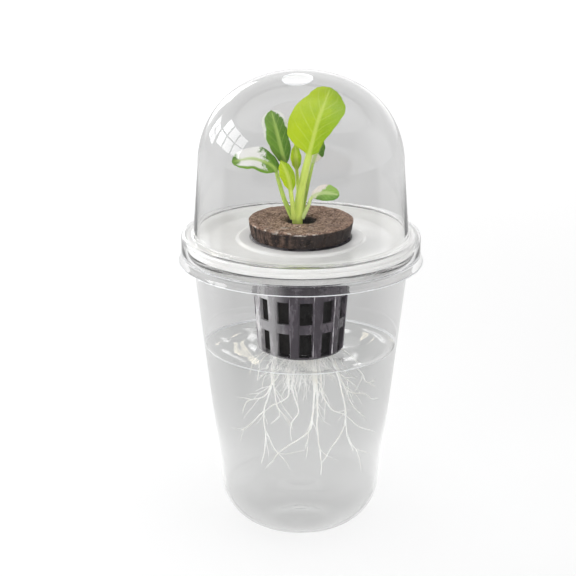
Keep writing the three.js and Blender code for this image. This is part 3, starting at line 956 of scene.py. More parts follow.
@dataclass
class PlantingDisc:
    """White disc on the cup's rim: grooved edge, dish, boss and centring ring."""

    radius: float = 49.27
    seat: float = 128.3
    top: float = 132.5
    groove: float = 0.6
    groove_height: float = 1.76
    bead: float = 2.4
    dish: float = 130.2
    slope: float = 8.5
    slope_steps: int = 12
    boss: float = 27.3
    boss_top: float = 131.1
    hole: float = 20.9
    pocket: float = 22.1
    pocket_floor: float = 129.6
    sheet: float = 1.3
    ring: float = 45.6
    ring_wall: float = 1.2
    ring_foot: float = 124.5
    steps: int = 160

    def build(self, finish: bpy.types.Material) -> None:
        """Makes and dresses the disc."""
        middle = self.seat + self.groove_height
        flank = self.radius - self.groove * 0.3
        inner = self.radius - self.bead
        lip = self.top - 0.25
        floor = inner - self.slope
        under = self.dish - self.sheet
        pocket_under = self.pocket_floor - self.sheet
        ring_inner = self.ring - self.ring_wall
        line: list[Corner] = [
            (self.radius, self.seat, 0.3),
            (self.radius, middle - self.groove, 0.3),
            (self.radius - self.groove, middle - 0.24, 0.2),
            (self.radius - self.groove, middle + 0.24, 0.2),
            (flank, middle + self.groove, 0.3),
            (flank, self.top, 1.0),
            (inner + 0.6, self.top, 0.5),
            (inner, lip, 0.4),
        ]
        for k in range(1, self.slope_steps):
            share = k / self.slope_steps
            line.append((inner - self.slope * share, lip - (lip - self.dish) * smoothstep(0, 1, share), 0))
        line += [
            (floor, self.dish, 0),
            (self.boss + 0.7, self.dish, 0.6),
            (self.boss - 0.2, self.boss_top, 0.6),
            (self.pocket, self.boss_top, 0.3),
            (self.pocket, self.pocket_floor, 0.15),
            (self.hole, self.pocket_floor, 0.2),
            (self.hole, pocket_under, 0.2),
            (self.pocket + self.sheet, pocket_under, 0.4),
            (self.pocket + self.sheet + 0.6, under, 0.3),
            (floor, under, 1.0),
            (ring_inner - 1.3, self.seat + 0.3, 0.6),
            (ring_inner, self.seat, 0.4),
            (ring_inner, self.ring_foot, 0.4),
            (self.ring, self.ring_foot, 0.4),
            (self.ring, self.seat, 0.15),
        ]
        shell = Shell()
        shell.revolve(rounded(line), self.steps)
        settle(shell.to_object("white_disc"), Body.DISC, Slot.WHITE, finish, "planting_disc")


class Station(NamedTuple):
    """One level of the net pot's skin.

    Attributes:
        outer: The outer point.
        inner: The inner point.
        width: How wide an opening is there.
        opens: Whether the opening goes on to the next station.
        rib: The share of the rib's height.
    """

    outer: Point
    inner: Point
    width: float
    opens: bool = False
    rib: float = 0.0


@dataclass
class NetPot:
    """Black net pot: one skin with windows and slots, ribs between them and a flange."""

    foot: float = 81.9
    neck: float = 113.9
    flange_foot: float = 129.9
    top: float = 131.1
    foot_radius: float = 18.1
    neck_radius: float = 20.3
    flange_radius: float = 21.8
    wall: float = 1.3
    corner: float = 1.6
    bays: int = 12
    turn: float = 7.0
    window: float = 5.5
    rows: tuple[Point, ...] = ((1.5, 11.0), (16.9, 10.2))
    rib_top: float = 32.5
    rib_proud: float = 0.4
    slot: float = 2.4
    slot_reach: Point = (8.0, 14.0)
    hole: float = 4.0
    columns: tuple[float, ...] = (-1, -0.82, -0.66, -0.62, -0.56, -0.3, 0, 0.3, 0.56, 0.62, 0.66, 0.82)
    opening: float = 0.56
    rib_edge: float = 0.64
    bevel: float = 0.22

    def radius(self, height: float) -> float:
        """Outer radius of the wall at a height."""
        share = min(1.0, max(0.0, (height - self.foot) / (self.neck - self.foot)))
        return self.foot_radius + (self.neck_radius - self.foot_radius) * share

    def stations(self) -> list[Station]:
        """The skin's stations from the floor's hole to the top."""
        floor = self.foot + self.wall
        inner, outer = self.slot_reach
        found: list[Station] = []
        middle = (inner + outer) / 2
        for reach, opens in ((self.hole, False), (inner, True), (middle, True), (outer, False)):
            found.append(Station((reach, self.foot), (reach, floor), self.slot, opens))
        bend = self.foot_radius - self.corner
        for k in range(4):
            turn = -math.pi / 2 + math.pi / 2 * k / 4
            point = (bend + self.corner * math.cos(turn), self.foot + self.corner * (1 + math.sin(turn)))
            found.append(Station(point, (min(point[0], bend) - 0.1 + 0.1 * k / 4, floor), self.window))
        first = self.foot + self.rows[0][0]
        heights = [(first, True, 0.0), (first + 0.3, True, 1.0)]
        for row, (low, size) in enumerate(self.rows):
            start = self.foot + low
            if row:
                heights.append((start, True, 1.0))
            heights += [(start + size * share, True, 1.0) for share in (0.35, 0.7)]
            heights += [(start + size, False, 1.0), (start + size + 1.8, False, 1.0)]
        heights += [(self.foot + self.rib_top - 0.3, False, 1.0), (self.foot + self.rib_top, False, 0.0)]
        heights += [((self.neck + self.flange_foot) / 2, False, 0.0), (self.flange_foot, False, 0.0)]
        for height, opens, rib in heights:
            reach = self.radius(height)
            inside = (self.radius(max(height, floor)) - self.wall, max(height, floor + 0.02))
            found.append(Station((reach, height), inside, self.window, opens, rib))
        bore = self.neck_radius - self.wall
        for low, high in ((self.flange_foot, self.flange_foot + 0.3), (self.top, self.top)):
            found.append(Station((self.flange_radius, low), (bore, high), self.window))
        return found

    def build(self, finish: bpy.types.Material, painted_light: bpy.types.Material) -> None:
        """Makes and dresses the pot.

        Args:
            finish: The plastic's material.
            painted_light: The material of the ribs' edges that face the light, a painted highlight.
        """
        stations = self.stations()
        pitch = math.tau / self.bays
        across = len(self.columns)
        around = self.bays * across
        points: list[Vector] = []
        for station in stations:
            edge = math.asin(min(0.24, station.width / 2 / station.outer[0])) / (pitch / 2)
            for i in range(around):
                bay, column = divmod(i, across)
                share = self.columns[column]
                turn = math.radians(self.turn) + pitch * (bay + self.spread(share, edge) / 2)
                proud = self.rib_proud * station.rib if abs(share) > self.rib_edge else 0.0
                for radius, height, more in ((*station.outer, proud), (*station.inner, 0.0)):
                    reach = radius + more
                    points.append(Vector((reach * math.cos(turn), reach * math.sin(turn), height)))
        opening = [abs(self.middle(column)) < self.opening for column in range(across)]
        solid = [[not (station.opens and free) for free in opening] * self.bays
                 for station in stations[:-1]]
        shell = Shell()
        shell.add(points, self.skin(solid, around))
        pot = shell.to_object("net_pot_black", 30)
        edges = pot.modifiers.new("edges", "BEVEL")
        edges.width = self.bevel * MM
        edges.segments = 2
        edges.limit_method = "ANGLE"
        edges.angle_limit = math.radians(38)
        edges.use_clamp_overlap = True
        edges.harden_normals = False
        settle(pot, Body.POT, Slot.BLACK, finish, "net_pot")
        pot.data.materials.append(painted_light)
        # Rib flanks that face -X, towards the lamps on the left, get the painted highlight.
        for face in pot.data.polygons:
            aside = Vector((-face.center.y, face.center.x, 0)).normalized()
            in_ribs = self.foot + self.corner < face.center.z / MM < self.foot + self.rib_top
            highlight_flank = face.normal.x < 0 and 0.35 < abs(face.normal.dot(aside)) < 0.95
            face.material_index = int(in_ribs and highlight_flank)

    def spread(self, share: float, edge: float) -> float:
        """Moves a column so that an opening's edge lies at its own place.

        Args:
            share: The column's place in its bay, from -1 to 1.
            edge: Where the opening's edge belongs.

        Returns:
            The column's new place.
        """
        size = abs(share)
        moved = size * edge / self.opening if size <= self.opening else size
        return math.copysign(moved, share)

    def middle(self, column: int) -> float:
        """Place of the middle of the strip after a column."""
        after = self.columns[column + 1] if column + 1 < len(self.columns) else 1.0
        return (self.columns[column] + after) / 2

    @staticmethod
    def skin(solid: Sequence[Sequence[bool]], around: int) -> list[list[int]]:
        """Faces of a skin with openings.

        Args:
            solid: For each row and strip, whether there is material.
            around: Strips round a turn.

        Returns:
            Its outer and inner faces and the faces in its openings.
        """
        def at(spot: tuple[int, int], inner: int) -> int:
            """Number of a point of a row and a strip."""
            return (spot[0] * around + spot[1] % around) * 2 + inner

        faces: list[list[int]] = []
        rows = len(solid)
        for row in range(rows):
            for strip in range(around):
                if not solid[row][strip]:
                    continue
                a, b, c, d = (row, strip), (row, strip + 1), (row + 1, strip + 1), (row + 1, strip)
                faces.append([at(spot, 0) for spot in (a, b, c, d)])
                faces.append([at(spot, 1) for spot in (d, c, b, a)])
                free = (
                    (a, d, not solid[row][strip - 1]),
                    (c, b, not solid[row][(strip + 1) % around]),
                    (b, a, row == 0 or not solid[row - 1][strip]),
                    (d, c, row == rows - 1 or not solid[row + 1][strip]),
                )
                faces += [[at(p, 0), at(q, 0), at(q, 1), at(p, 1)] for p, q, is_free in free if is_free]
        return faces


@dataclass
class GrowPlug:
    """Pressed peat plug: a head over the pot's flange, a body in the pot, a dimple and a hole."""

    pot: NetPot
    top: float = 139.5
    shoulder: float = 131.4
    foot: float = 83.5
    top_radius: float = 23.1
    head_radius: float = 21.7
    dimple: float = 6.2
    hole: float = 4.4
    depth: float = 13.0
    play: float = 0.3
    grain: float = 0.62
    gap: float = 0.62
    steps: int = 220

    def in_pot(self, height: float) -> float:
        """Radius of the part in the pot at a height."""
        return self.pot.radius(height) - self.pot.wall - self.play

    def build(self, finish: bpy.types.Material) -> None:
        """Makes and dresses the plug."""
        line: list[Corner] = [
            (0, self.foot, 0),
            (self.in_pot(self.foot), self.foot, 1.6),
            (self.in_pot(self.pot.neck), self.pot.neck, 0),
            (self.in_pot(self.shoulder), self.shoulder, 0),
            (self.head_radius, self.shoulder, 0.7),
            (self.top_radius, self.top, 1.5),
            (self.dimple + 1.4, self.top - 0.3, 1.6),
            (self.hole, self.top - 2, 1.4),
            (self.hole - 0.5, self.top - self.depth, 1.0),
            (0, self.top - self.depth, 0),
        ]
        shell = Shell()
        shell.revolve(spaced(rounded(line, 5), self.gap), self.steps)
        plug = shell.to_object("peat_plug", 60)
        self.crumble(plug.data)
        settle(plug, Body.POT, Slot.PEAT, finish, "grow_plug")

    def crumble(self, mesh: bpy.types.Mesh) -> None:
        """Presses pits, crumbs and upright furrows into the plug's faces."""
        normals = [vertex.normal.copy() for vertex in mesh.vertices]
        for vertex, normal in zip(mesh.vertices, normals):
            spot = vertex.co / MM
            lumps = noise.fractal(spot * 0.34, 0.8, 2.0, 4)
            crumbs = noise.noise(spot * 1.6)
            pits = max(0.0, noise.noise(spot * 0.75 + Vector((7, 3, 1))) - 0.28)
            furrow = noise.noise(Vector((spot.x * 0.8, spot.y * 0.8, spot.z * 0.12)))
            upright = 1 - abs(normal.z)
            offset = 0.35 * lumps + 0.22 * crumbs + 0.3 * furrow * upright - 0.55
            offset = self.grain * min(0.0, offset) - 1.1 * pits
            vertex.co = vertex.co + normal * (offset * MM)


@dataclass
class DomeLid:
    """Clear dome: crown with a vent towards the front, wall, shoulder and a flared skirt."""

    base: float = 46.17
    spring: float = 43.87
    spring_height: float = 163.6
    rise: float = 39.6
    power: float = 2.12
    vent: float = 6.2
    vent_middle: Point = (-1.6, -9.2)
    vent_round: float = 0.3
    wall: float = 0.8
    shoulder: float = 132.8
    skirt_inner: float = 50.57
    skirt_foot: float = 121.8
    skirt_round: float = 1.6
    flare: float = 1.3
    flare_height: float = 2.6
    snap: float = 0.7
    crown_steps: int = 48
    steps: int = 192

    def ring(self, share: float, reach: float, drop: float, inset: float) -> list[Vector]:
        """One ring of the crown, between the vent's circle and the wall's.

        Args:
            share: 0 for a ring about the vent's middle, 1 for one about the dome's.
            reach: The ring's radius.
            drop: How far it lies under the crown's face.
            inset: How far inside the outer face that face runs.

        Returns:
            The ring's points.
        """
        radius, rise = self.spring - inset, self.rise - inset
        points = []
        for i in range(self.steps):
            turn = math.tau * i / self.steps
            x = self.vent_middle[0] * (1 - share) + reach * math.cos(turn)
            y = self.vent_middle[1] * (1 - share) + reach * math.sin(turn)
            level = max(0.0, 1 - (math.hypot(x, y) / radius) ** self.power) ** (1 / self.power)
            points.append(Vector((x, y, self.spring_height + rise * level - drop)))
        return points

    def crown(self, inset: float) -> list[list[Vector]]:
        """The crown's rings from the vent's edge out to the wall.

        Args:
            inset: How far inside the outer face they run.

        Returns:
            The rings, with the vent's edge rounded off.
        """
        radius = self.spring - inset
        edge = self.vent + self.vent_round
        lip = -self.vent_round if inset else self.vent_round
        near = ((self.vent, lip), (self.vent + 0.3 * self.vent_round, 0.3 * lip), (edge - 0.03, 0.0),
                (edge + 0.04, 0.0))
        rings = [self.ring(0, reach, drop, inset) for reach, drop in near]
        edge += 0.1
        end = math.acos(edge / radius)
        for k in range(self.crown_steps, -1, -1):
            reach = radius * math.cos(end * k / self.crown_steps)
            rings.append(self.ring((reach - edge) / (radius - edge), reach, 0.0, inset))
        return rings

    def build(self, finish: bpy.types.Material, cut: bpy.types.Material) -> None:
        """Makes and dresses the dome.

        Args:
            finish: The sheet's material.
            cut: The material of the vent's punched edge and the skirt's trimmed one, whitish with a painted
                glow.
        """
        over = self.shoulder + self.wall
        outer = self.skirt_inner + self.wall
        foot = self.skirt_foot
        line: list[Corner] = [
            (self.spring, self.spring_height, 0),
            (self.base, over, 1.1),
            (outer, over, self.skirt_round * 1.2),
            (outer, foot + self.flare_height, 1.6),
            (outer + self.flare, foot, 0.3),
            (self.skirt_inner + self.flare, foot, 0.3),
            (self.skirt_inner + self.flare * 0.3, foot + 1.1, 0.6),
            (self.skirt_inner - self.snap, foot + 3, 0.7),
            (self.skirt_inner, foot + 4.3, 0.8),
            (self.skirt_inner, self.shoulder, 1.1),
            (self.base - 0.3, self.shoulder, 1.0),
            (self.base - self.wall - 0.1, self.shoulder + 1.9, 0.6),
            (self.spring - self.wall, self.spring_height, 0),
        ]
        wall = [Shell.circle(radius, height, self.steps) for radius, height in rounded(line)[1:-1]]
        shell = Shell()
        shell.loft([*self.crown(0.0), *wall, *self.crown(self.wall)[::-1]], True)
        dome = shell.to_object("clear_dome")
        settle(dome, Body.DOME, Slot.CLEAR, finish, "dome_lid")
        dome.data.materials.append(cut)
        # The vent's edge and the skirt's foot get the whitish finish with its painted glow.
        for face in dome.data.polygons:
            x, y = face.center.x / MM - self.vent_middle[0], face.center.y / MM - self.vent_middle[1]
            at_vent = math.hypot(x, y) < self.vent + self.vent_round
            face.material_index = int(at_vent or face.center.z / MM < foot + 0.12)


@dataclass
class Leaf:
    """One leaf with its stalk, skinned along its own line."""

    node: str
    line: tuple[Corner, ...]
    blade: float
    widths: tuple[Point, ...]
    stalk: float
    face: Corner
    finish: LeafFinish
    slot: Slot
    fold: float = 0.12
    curl: float = 0.0
    ruffle: float = 0.0
    waves: float = 3.0
    lean: tuple[Point, ...] = ((0, 0), (1, 0))
    rows: int = 84
    crowding: float = 1.6
    across: tuple[float, ...] = (1, 0.97, 0.91, 0.82, 0.7, 0.56, 0.42, 0.29, 0.18, 0.1, 0.045, 0)

    def curve(self, share: float) -> Vector:
        """A point of the leaf's line."""
        return smooth_line(self.line, share)

    def section(self, share: float) -> tuple[list[Vector], list[Corner]]:
        """One cross-section.

        Args:
            share: Its place along the line, from 0 to 1.

        Returns:
            Its points, and for each its place across and along the blade and half the width there.
        """
        point = self.curve(share)
        along = (self.curve(share + 0.01) - self.curve(share - 0.01)).normalized()
        across = along.cross(Vector(self.face)).normalized()
        up = across.cross(along).normalized()
        reach = (share - self.blade) / (1 - self.blade)
        width = along_points(self.widths, max(0.0, reach))
        spread = smoothstep(-0.06, 0.16, reach)
        stalk = self.stalk * (1.25 - 0.4 * max(0.0, share / self.blade)) if reach < 0 else self.stalk * 0.85
        half = stalk + (max(width, 0.25) - stalk) * smoothstep(-0.03, 0.06, reach)
        lean = along_points(self.lean, max(0.0, reach)) * spread
        rib = 0.75 * self.stalk * max(0.0, 1 - reach) ** 0.7
        ring, marks = [], []
        sides = [(u, 1) for u in self.across] + [(-u, 1) for u in self.across[-2::-1]]
        sides += [(-u, -1) for u in self.across[1:]] + [(u, -1) for u in self.across[-2:0:-1]]
        for u, face in sides:
            round_off = math.sqrt(max(0.0, 1 - u * u))
            thin = 0.24 * (1 - abs(u) ** 6) + 0.03
            wide = half * (1 - lean * math.copysign(1, u))
            off = u * wide
            if face < 0:
                under = rib * math.exp(-(off / (0.7 + 0.2 * self.stalk)) ** 2)
            else:
                under = -0.12 * rib * math.exp(-(off / 0.6) ** 2)
            skin = thin + under
            groove = 0.35 * stalk * math.exp(-(u / 0.45) ** 2) if face > 0 else 0.0
            thick = (stalk * round_off - groove) * (1 - spread) + skin * spread
            wave = math.sin(math.tau * self.waves * reach + (1.3 if u > 0 else 0.0))
            lift = self.fold * abs(u) + self.curl * u * u + self.ruffle * wave * abs(u) ** 2.5
            ring.append(point + across * off + up * (face * thick + lift * wide * spread))
            marks.append((u, reach, wide))
        return ring, marks

    def build(self) -> None:
        """Makes and dresses the leaf."""
        shell = Shell()
        rings = []
        for i in range(self.rows + 1):
            ring, marks = self.section(1 - (1 - i / self.rows) ** self.crowding)
            rings.append(ring)
            shell.marks += marks
        shell.loft(rings)
        piece = shell.to_object(self.node + "_skin", 70)
        settle(piece, Body.POT, self.slot, self.finish.material(), self.node)


LIME = {
    "light": linear(180, 204, 8), "dark": linear(146, 181, 2), "vein": linear(206, 222, 104),
    "stalk": linear(204, 224, 112),
}
GREEN = {
    "light": linear(110, 154, 44), "dark": linear(74, 119, 26), "vein": linear(174, 201, 102),
    "stalk": linear(188, 212, 102),
}
PINK = linear(232, 223, 217)


@dataclass
class Seedling:
    """The seedling: a short stem with its leaves round it."""

    offset: float = -1.6
    radius: float = 2.2
    foot: float = 129.5
    top: float = 142.0
    ridges: float = 0.06
    rows: int = 24
    sides: int = 28
    swell: tuple[Point, ...] = ((0, 0.5), (0.2, 0.85), (0.75, 1.0), (0.9, 0.9), (1, 0.25))
    leaves: tuple[Leaf, ...] = (
        Leaf("leaf_large",
             ((-1.6, -0.2, 139.6), (-0.2, -0.6, 151.0), (1.8, -0.9, 161.0), (3.9, -1.0, 170.0),
              (7.3, -0.6, 183.0), (12.2, 1.2, 196.2)), 0.56,
             ((0, 1.4), (0.1, 5.2), (0.26, 7.9), (0.45, 9.5), (0.6, 9.8), (0.72, 9.4), (0.84, 8.0),
              (0.93, 5.7), (0.975, 3.5), (1, 0.3)), 1.7, (-0.12, -1, 0.2),
             LeafFinish("lime_leaf", **LIME), Slot.LIME, fold=0.1, curl=0.06, ruffle=0.03, waves=2.2,
             lean=((0, 0.3), (0.1, 0.35), (0.26, 0.42), (0.45, 0.26), (0.6, 0.13), (0.82, -0.12), (1, 0))),
        Leaf("leaf_upright",
             ((-2.9, 2.0, 139.4), (-4.4, 4.2, 150.0), (-5.8, 4.8, 159.5), (-7.6, 5.0, 166.0),
              (-10.4, 5.2, 177.0), (-12.6, 5.6, 185.6)), 0.5,
             ((0, 0.9), (0.14, 2.6), (0.34, 4.6), (0.56, 5.7), (0.78, 5.6), (0.9, 4.6), (0.97, 2.8),
              (1, 0.6)), 0.85, (-0.25, -1, 0.1),
             LeafFinish("upright_leaf", pale_line=(0.42, 0.75, -0.86), painted_glare_margin=0.9, **GREEN), Slot.GREEN,
             fold=0.16, ruffle=0.1, waves=2.6),
        Leaf("leaf_left",
             ((-3.6, -0.7, 139.4), (-7.0, -1.6, 148.0), (-9.6, -2.2, 157.0), (-11.8, -2.6, 162.8),
              (-20.0, -3.2, 166.5), (-29.2, -4.0, 165.4)), 0.52,
             ((0, 0.9), (0.1, 2.8), (0.26, 4.9), (0.48, 5.9), (0.7, 5.3), (0.87, 3.8), (0.96, 2.2),
              (1, 0.4)), 0.9, (0.1, -0.7, 0.75),
             LeafFinish("left_leaf", pale_line=(-0.1, 1.0, -0.34), tip=0.88, hem=-0.85, **GREEN),
             Slot.GREEN, fold=0.14, ruffle=0.1, waves=2.2),
        Leaf("leaf_young_front",
             ((-3.0, -1.7, 139.4), (-3.8, -3.3, 148.0), (-4.4, -3.5, 155.0), (-6.0, -3.4, 161.0),
              (-8.6, -3.2, 166.0)), 0.42,
             ((0, 0.9), (0.2, 2.6), (0.5, 3.5), (0.78, 2.6), (1, 0.3)), 0.85, (-0.3, -1, 0.1),
             LeafFinish("young_leaf", **LIME), Slot.LIME, fold=0.3, ruffle=0.08, waves=2.0),
        Leaf("leaf_young_curled",
             ((-1.2, 2.0, 139.4), (-1.2, 3.4, 150.0), (-1.8, 3.0, 160.0), (-2.2, 2.6, 166.0),
              (-2.6, 2.0, 171.6)), 0.52,
             ((0, 0.9), (0.2, 1.9), (0.5, 2.4), (0.78, 1.8), (1, 0.3)), 0.8, (0, -1, 0.1),
             LeafFinish("curled_leaf", **LIME), Slot.LIME, fold=0.4, curl=0.1, ruffle=0.12),
        Leaf("leaf_small_right",
             ((0.6, -0.6, 139.4), (3.0, -1.4, 145.0), (4.8, -1.8, 149.5), (10.0, -2.2, 151.6),
              (16.3, -2.6, 150.6)), 0.5,
             ((0, 0.8), (0.15, 2.2), (0.4, 3.5), (0.62, 3.7), (0.84, 2.9), (0.95, 1.7), (1, 0.3)), 0.75,
             (0.1, -0.9, 0.45),
             LeafFinish("small_leaf", linear(150, 186, 92), linear(98, 142, 58), linear(196, 214, 150),
                        linear(206, 224, 140), pale=PINK, pale_line=(-0.5, -1.5, 0.5)),
             Slot.GREEN, fold=0.06, curl=-0.05, ruffle=0.04, waves=2.0),
        Leaf("leaf_back_right",
             ((0.2, 1.5, 139.4), (2.2, 3.6, 150.0), (4.4, 5.0, 160.0), (6.0, 5.6, 166.0),
              (9.4, 6.2, 172.5)), 0.6,
             ((0, 0.8), (0.2, 2.2), (0.5, 3.3), (0.78, 2.5), (1, 0.3)), 0.75, (0.2, -1, 0.2),
             LeafFinish("back_leaf", pale=PINK, pale_line=(-0.2, -1.8, 1.0), **GREEN), Slot.GREEN,
             ruffle=0.08, waves=2.0),
    )

    def build(self) -> None:
        """Makes and dresses the stem and the leaves."""
        shell = Shell()
        rings = []
        for k in range(self.rows + 1):
            share = k / self.rows
            height = self.foot + (self.top - self.foot) * share
            thick = self.radius * along_points(self.swell, share)
            ring = []
            for i in range(self.sides):
                turn = math.tau * i / self.sides
                ridge = math.cos(5 * turn + 0.8) + 0.5 * math.sin(3 * turn + 4 * share)
                reach = thick * (1 + self.ridges * ridge)
                ring.append(Vector((self.offset + reach * math.cos(turn), reach * math.sin(turn), height)))
                shell.marks.append((math.cos(turn), -0.5, self.radius))
            rings.append(ring)
        shell.loft(rings)
        finish = LeafFinish("stem", **LIME).material()
        settle(shell.to_object("stem_skin", 60), Body.POT, Slot.LIME, finish, "seedling_stem")
        for leaf in self.leaves:
            leaf.build()


@dataclass
class Roots:
    """White roots in the water: a soft tuft under the pot, long strands and their side roots."""

    cup: Cup
    top: float = 83.2
    floor: float = 24.5
    reach: float = 33.0
    tuft: float = 12.0
    hairs: int = 260
    rear: int = 9
    sectors: int = 4
    keep: float = 0.3
    seed: int = 41
    strands: tuple[tuple[Corner, ...], ...] = (
        ((-9, -4, 83), (-11.5, -7, 75), (-12.2, -8, 67), (-15.5, -8, 55), (-15, -8, 45), (-15.5, -8, 35),
         (-16.7, -8, 30)),
        ((-12, -7, 68), (-15.5, -5, 61), (-22.5, -4, 58.5), (-24.3, -4, 53)),
        ((-15.4, -8, 55), (-19.5, -9, 51), (-25.3, -9, 46)),
        ((-15, -8, 46), (-10.8, -8, 36.5), (-9.3, -8, 34)),
        ((-4, -2, 83), (-5, -3, 70), (-5.7, -3, 60), (-12.3, -3, 56), (-15.9, -3, 52.5)),
        ((-10, -3, 83), (-11.5, -4, 70), (-10.5, -5, 60), (-9, -5, 52), (-12.5, -5, 48)),
        ((-2, -6, 83), (-3, -9, 74), (-3.5, -10, 66.5), (-0.9, -10, 56), (-3.8, -10, 50), (-3.8, -10, 42)),
        ((4, -4, 83), (5.6, -6, 70), (5.6, -6, 57), (3.5, -6, 44.5), (-5, -6, 38), (-10, -6, 33),
         (-14.5, -6, 26.3)),
        ((5, -5, 83), (6.2, -6, 66), (4.8, -6, 51), (3.2, -6, 42), (2.4, -6, 36)),
        ((6, -6, 83), (7, -8, 66), (7.1, -9, 53.5), (7.5, -9, 41.5), (8.7, -9, 33), (8.7, -9, 25)),
        ((11, -3, 83), (16, -4, 70), (18.8, -5, 57), (19.2, -5, 49.6), (17, -5, 42.4), (12.8, -5, 35),
         (9.1, -5, 28.4)),
        ((7, -2, 83), (8.5, -3, 70), (9.7, -4, 61), (13.4, -4, 54.7), (19.2, -4, 51.5), (25.2, -4, 46),
         (31.5, -4, 43)),
        ((19.2, -5, 50), (20, -7, 42.5), (22.6, -7, 35.3)),
        ((19.9, -7, 43), (22, -7, 38.5), (25, -7, 34.2)),
        ((12, 4, 83), (16, 4, 70), (20.1, 4, 60.5), (27, 4, 59), (30, 4, 56.5), (32.6, 4, 57)),
        ((12, 6, 83), (20, 8, 76), (25.5, 8, 68), (28, 8, 63.6), (31.5, 8, 64)),
        ((13, -2, 78), (18, -2, 66), (20.7, -2, 58.6), (23.3, -2, 54), (27.4, -2, 50)),
        ((-11, -5, 83), (-15, -9, 80.5), (-17.5, -11, 76.5), (-18.5, -12, 71)),
        ((-12, -3, 83), (-16.5, -7, 81), (-20, -9, 78), (-21.5, -10, 73.5)),
    )

    def wander(self, start: Vector, heading: Vector, length: float, sag: float, wild: float,
               chance: random.Random) -> list[Vector]:
        """A path that wanders as it grows.

        Args:
            start: Where it begins.
            heading: The way it sets out.
            length: How long it is.
            sag: How much it turns downwards in each step.
            wild: How much it turns at random.
            chance: The source of random numbers.

        Returns:
            Its points, which end where the roots' room ends.
        """
        path = [start]
        steps = max(6, round(length / 1.4))
        drift = Vector((0, 0, 0))
        for _ in range(steps):
            drift = drift * 0.75 + Vector(chance.uniform(-1, 1) for _ in range(3)) * wild
            heading = (heading + drift + Vector((0, 0, -sag))).normalized()
            point = path[-1] + heading * (length / steps)
            room = min(self.reach, self.cup.radius(point.z) - 5)
            if len(path) > 2 and (math.hypot(point.x, point.y) > room or point.z < self.floor):
                break
            path.append(point)
        return path

    @staticmethod
    def trace(points: Sequence[Corner], chance: random.Random) -> list[Vector]:
        """A path through given points with small bends of its own."""
        count = round(sum(math.dist(a, b) for a, b in zip(points, points[1:])) / 1.1)
        shift = Vector(chance.uniform(-50, 50) for _ in range(3))
        path = []
        for i in range(count + 1):
            spot = smooth_line(points, i / count)
            bend = Vector(noise.noise(spot * 0.2 + shift * k) for k in (1, 2, 3))
            path.append(spot + bend * (0.6 * math.sqrt(i / count)))
        return path

    def build(self, finish: bpy.types.Material) -> None:
        """Makes and dresses the roots, in sectors."""
        chance = random.Random(self.seed)
        shells = [Shell() for _ in range(self.sectors)]
        for points in self.strands:
            path = self.trace(points, chance)
            shell = shells[self.sector(path[-1])]
            self.grow(shell, path, 0.46 if points[0][2] > self.top - 1 else 0.34, 0.17, 7)
            self.branch(shell, path, chance)
        for i in range(self.rear):
            turn = math.pi * (i + 0.5) / self.rear
            heading = self.downwards(turn, chance.uniform(0.1, 0.6))
            start = self.start(turn, 0.8, chance)
            path = self.wander(start, heading, chance.uniform(26, 46), 0.02, 0.06, chance)
            shell = shells[self.sector(path[-1])]
            self.grow(shell, path, 0.38, 0.15, 6)
            self.branch(shell, path, chance)
        for _ in range(self.hairs):
            turn = chance.uniform(0, math.tau)
            share = chance.random()
            heading = self.downwards(turn, chance.uniform(-0.12, 0.3))
            length = 6 + (24 - 13 * share) * chance.random()
            path = self.wander(self.start(turn, share, chance), heading, length, 0.02, 0.12, chance)
            self.grow(shells[self.sector(path[-1])], path, chance.uniform(0.11, 0.2), 0.06, 4)
        for i, shell in enumerate(shells):
            piece = shell.to_object(f"roots_{i + 1}", 80)
            settle(piece, Body.POT, Slot.ROOTS, finish, "roots")
            turn = math.pi * i / self.sectors
            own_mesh(piece)

    @staticmethod
    def downwards(turn: float, tilt: float) -> Vector:
        """A way down that tilts outwards at a bearing."""
        return Vector((math.cos(turn) * tilt, math.sin(turn) * tilt, -1)).normalized()

    def start(self, turn: float, share: float, chance: random.Random) -> Vector:
        """A starting point under the pot's slotted floor."""
        reach = self.tuft * share
        height = self.top + chance.uniform(-0.3, 0.6)
        return Vector((reach * math.cos(turn), reach * math.sin(turn), height))

    def sector(self, point: Vector) -> int:
        """Which sector a point belongs to, counted by half turns."""
        turn = math.atan2(point.y, point.x) % math.pi
        return round(turn / (math.pi / self.sectors)) % self.sectors

    @staticmethod
    def grow(shell: Shell, path: Sequence[Vector], thick: float, thin: float, sides: int) -> None:
        """Adds a strand that tapers along its path."""
        last = len(path) - 1
        radii = [thick + (thin - thick) * (i / last) ** 0.8 for i in range(last + 1)]
        shell.tube(path, radii, sides)

    def branch(self, shell: Shell, path: Sequence[Vector], chance: random.Random) -> None:
        """Adds side roots along a strand."""
        for _ in range(chance.randint(1, 3)):
            i = chance.randint(len(path) // 3, len(path) - 3)
            along = (path[i + 1] - path[i]).normalized()
            aside = Vector(chance.uniform(-1, 1) for _ in range(3))
            aside = (aside - along * aside.dot(along)).normalized()
            heading = (along * 0.8 + aside * 0.6).normalized()
            side = self.wander(path[i], heading, chance.uniform(5, 13), 0.02, 0.07, chance)
            self.grow(shell, side, 0.2, 0.09, 5)


class Rays(NamedTuple):
    """Masks of the rays that reach the surroundings. All others only carry light.

    Attributes:
        direct: What the camera sees straight or through clear pieces.
        through: What it sees through clear pieces.
        behind: What it sees through two clear walls or more.
        mirrored: What clear and glossy pieces mirror.
        deep: What is mirrored by the water's face or the disc, seen through one wall and left by another.
    """

    direct: Wire
    through: Wire
    behind: Wire
    mirrored: Wire
    deep: Wire


class Window(NamedTuple):
    """A window of bright panes that the dome mirrors.

    Attributes:
        name: Its name.
        azimuth: Its bearing from the dome in degrees, from +X towards +Y.
        elevation: Its height above the dome's level in degrees.
        size: Its width and height in metres.
        panes: How many panes it has across and up.
        glow: How bright the panes are.
    """

    name: str
    azimuth: float
    elevation: float
    size: Point
    panes: tuple[int, int]
    glow: float


